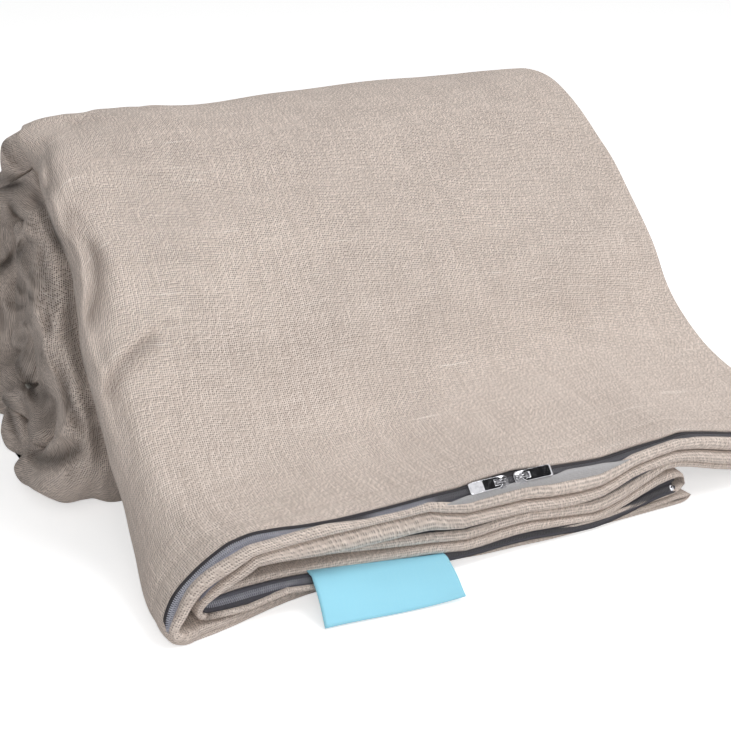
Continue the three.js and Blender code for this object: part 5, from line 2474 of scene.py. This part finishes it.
def dress_water_connection(finishes: Finishes) -> None:
    """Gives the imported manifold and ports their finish.

    Args:
        finishes: The materials.
    """
    for name in ("water_manifold", "inlet_port", "outlet_port"):
        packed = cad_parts[name]
        packed.data.materials.clear()
        packed.data.materials.append(finishes.plastic)
        LOG.info("dressed %s", name)


# The floor and the light


@dataclass
class Studio:
    """A pale floor under soft light, with a white background."""

    floor_size: float = 9.0
    ambient: float = 0.6
    shaded: float = 0.12
    key_power: float = 12.5
    fill_power: float = 9.0
    floor_glow: float = 0.55
    flag_place: tuple[float, float, float] = (0.27, -0.54, 0.55)
    flag_shift: float = 130.0

    @staticmethod
    def aim(thing: bpy.types.Object, place: Sequence[float], target: Sequence[float]) -> None:
        """Stands a lamp or a card at a place and turns it to look at another, in metres."""
        thing.location = place
        thing.rotation_euler = (Vector(place) - Vector(target)).to_track_quat("Z", "Y").to_euler()

    def build_world(self) -> None:
        """Makes the world, white to the camera and in reflections, and brighter from the right."""
        world = bpy.data.worlds.new("studio")
        world.use_nodes = True
        g = Graph(world.node_tree)
        g.tree.nodes.clear()
        shown = g.shown()
        towards = g.node("ShaderNodeVectorMath", operation="DOT_PRODUCT")
        g.join(g.node("ShaderNodeTexCoord").outputs["Generated"], towards.inputs[0])
        towards.inputs[1].default_value = (0.74, -0.42, 0.52)
        lit = g.spread(towards.outputs["Value"], -0.75, 0.85, self.shaded, self.ambient)
        strength = g.plus(lit, g.times(shown, g.less(1.0, lit)))
        background = g.fill(g.node("ShaderNodeBackground"), Color=(1.0, 1.0, 1.0, 1.0), Strength=strength)
        g.join(background.outputs[0], g.node("ShaderNodeOutputWorld").inputs["Surface"])
        bpy.context.scene.world = world

    def build_flag(self) -> None:
        """Makes the dark card that the polished sliders reflect."""
        across, up = np.meshgrid(np.linspace(-1, 1, 9), np.linspace(-1, 1, 9))
        bowed = [across * 230 + self.flag_shift, up * 170, 30 * (across**2 + up**2)]
        flag = make_object("dark_flag", np.stack(bowed, -1).reshape(-1, 3), grid_faces(9, 9))
        self.aim(flag, self.flag_place, (-0.02, -0.15, 0.04))
        material, g, shader = new_material("dark_flag")
        g.fill(shader, Base_Color=(0.006, 0.006, 0.007, 1.0), Roughness=1.0)
        flag.data.materials.append(material)
        for kind in ("camera", "diffuse", "transmission", "volume_scatter", "shadow"):
            setattr(flag, f"visible_{kind}", False)
        flag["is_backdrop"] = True

    def build_floor(self) -> None:
        """Makes the floor, which shows white and keeps the blanket's shadow."""
        half = self.floor_size * 500
        corners = np.array([[-half, -half, 0], [half, -half, 0], [half, half, 0], [-half, half, 0]], float)
        floor = make_object("floor", corners, [(0, 1, 2, 3)])
        material, g, _ = new_material("floor")
        g.tree.nodes.clear()
        shown = g.shown()
        diffuse = g.fill(g.node("ShaderNodeBsdfDiffuse"), Color=(0.86, 0.86, 0.86, 1.0))
        strength = g.times(shown, self.floor_glow)
        glow = g.fill(g.node("ShaderNodeEmission"), Color=(1.0, 1.0, 1.0, 1.0), Strength=strength)
        both = g.node("ShaderNodeAddShader")
        g.join(diffuse.outputs[0], both.inputs[0])
        g.join(glow.outputs[0], both.inputs[1])
        g.join(both.outputs[0], g.node("ShaderNodeOutputMaterial").inputs["Surface"])
        floor.data.materials.append(material)
        floor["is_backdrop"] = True

    def build_lamp(self, name: str, place: tuple, size: float, power: float) -> None:
        """Makes a soft lamp that looks at the blanket.

        Args:
            name: The lamp's name.
            place: Where it stands, in metres.
            size: Its width, in metres.
            power: Its power, in watts.
        """
        data = bpy.data.lights.new(name, "AREA")
        data.shape = "DISK"
        data.size = size
        data.energy = power
        lamp = bpy.data.objects.new(name, data)
        self.aim(lamp, place, (0.0, 0.0, 0.08))
        bpy.context.scene.collection.objects.link(lamp)

    def build(self) -> None:
        """Makes the floor, the world and the lamps."""
        self.build_world()
        self.build_floor()
        self.build_flag()
        self.build_lamp("key_lamp", (0.72, -0.52, 1.55), 1.0, self.key_power)
        self.build_lamp("fill_lamp", (-0.8, -1.6, 1.0), 1.2, self.fill_power)
        bpy.context.scene.view_settings.view_transform = "Standard"


def main() -> None:
    """Builds the blanket, its zipper and its label, and the studio round them."""
    logging.basicConfig(level=logging.INFO, format="%(name)s: %(message)s")
    packed = tuple(corner.copy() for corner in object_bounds())
    camera = Camera()
    camera.build()
    finishes = Finishes(Effects())
    quilt = Quilt(camera)
    quilt.build(finishes)
    Zipper(quilt).build(finishes)
    Sliders().build(finishes)
    LoopLabel(camera).build(finishes)
    dress_water_connection(finishes)
    Studio().build()


if __name__ == "__main__":
    main()
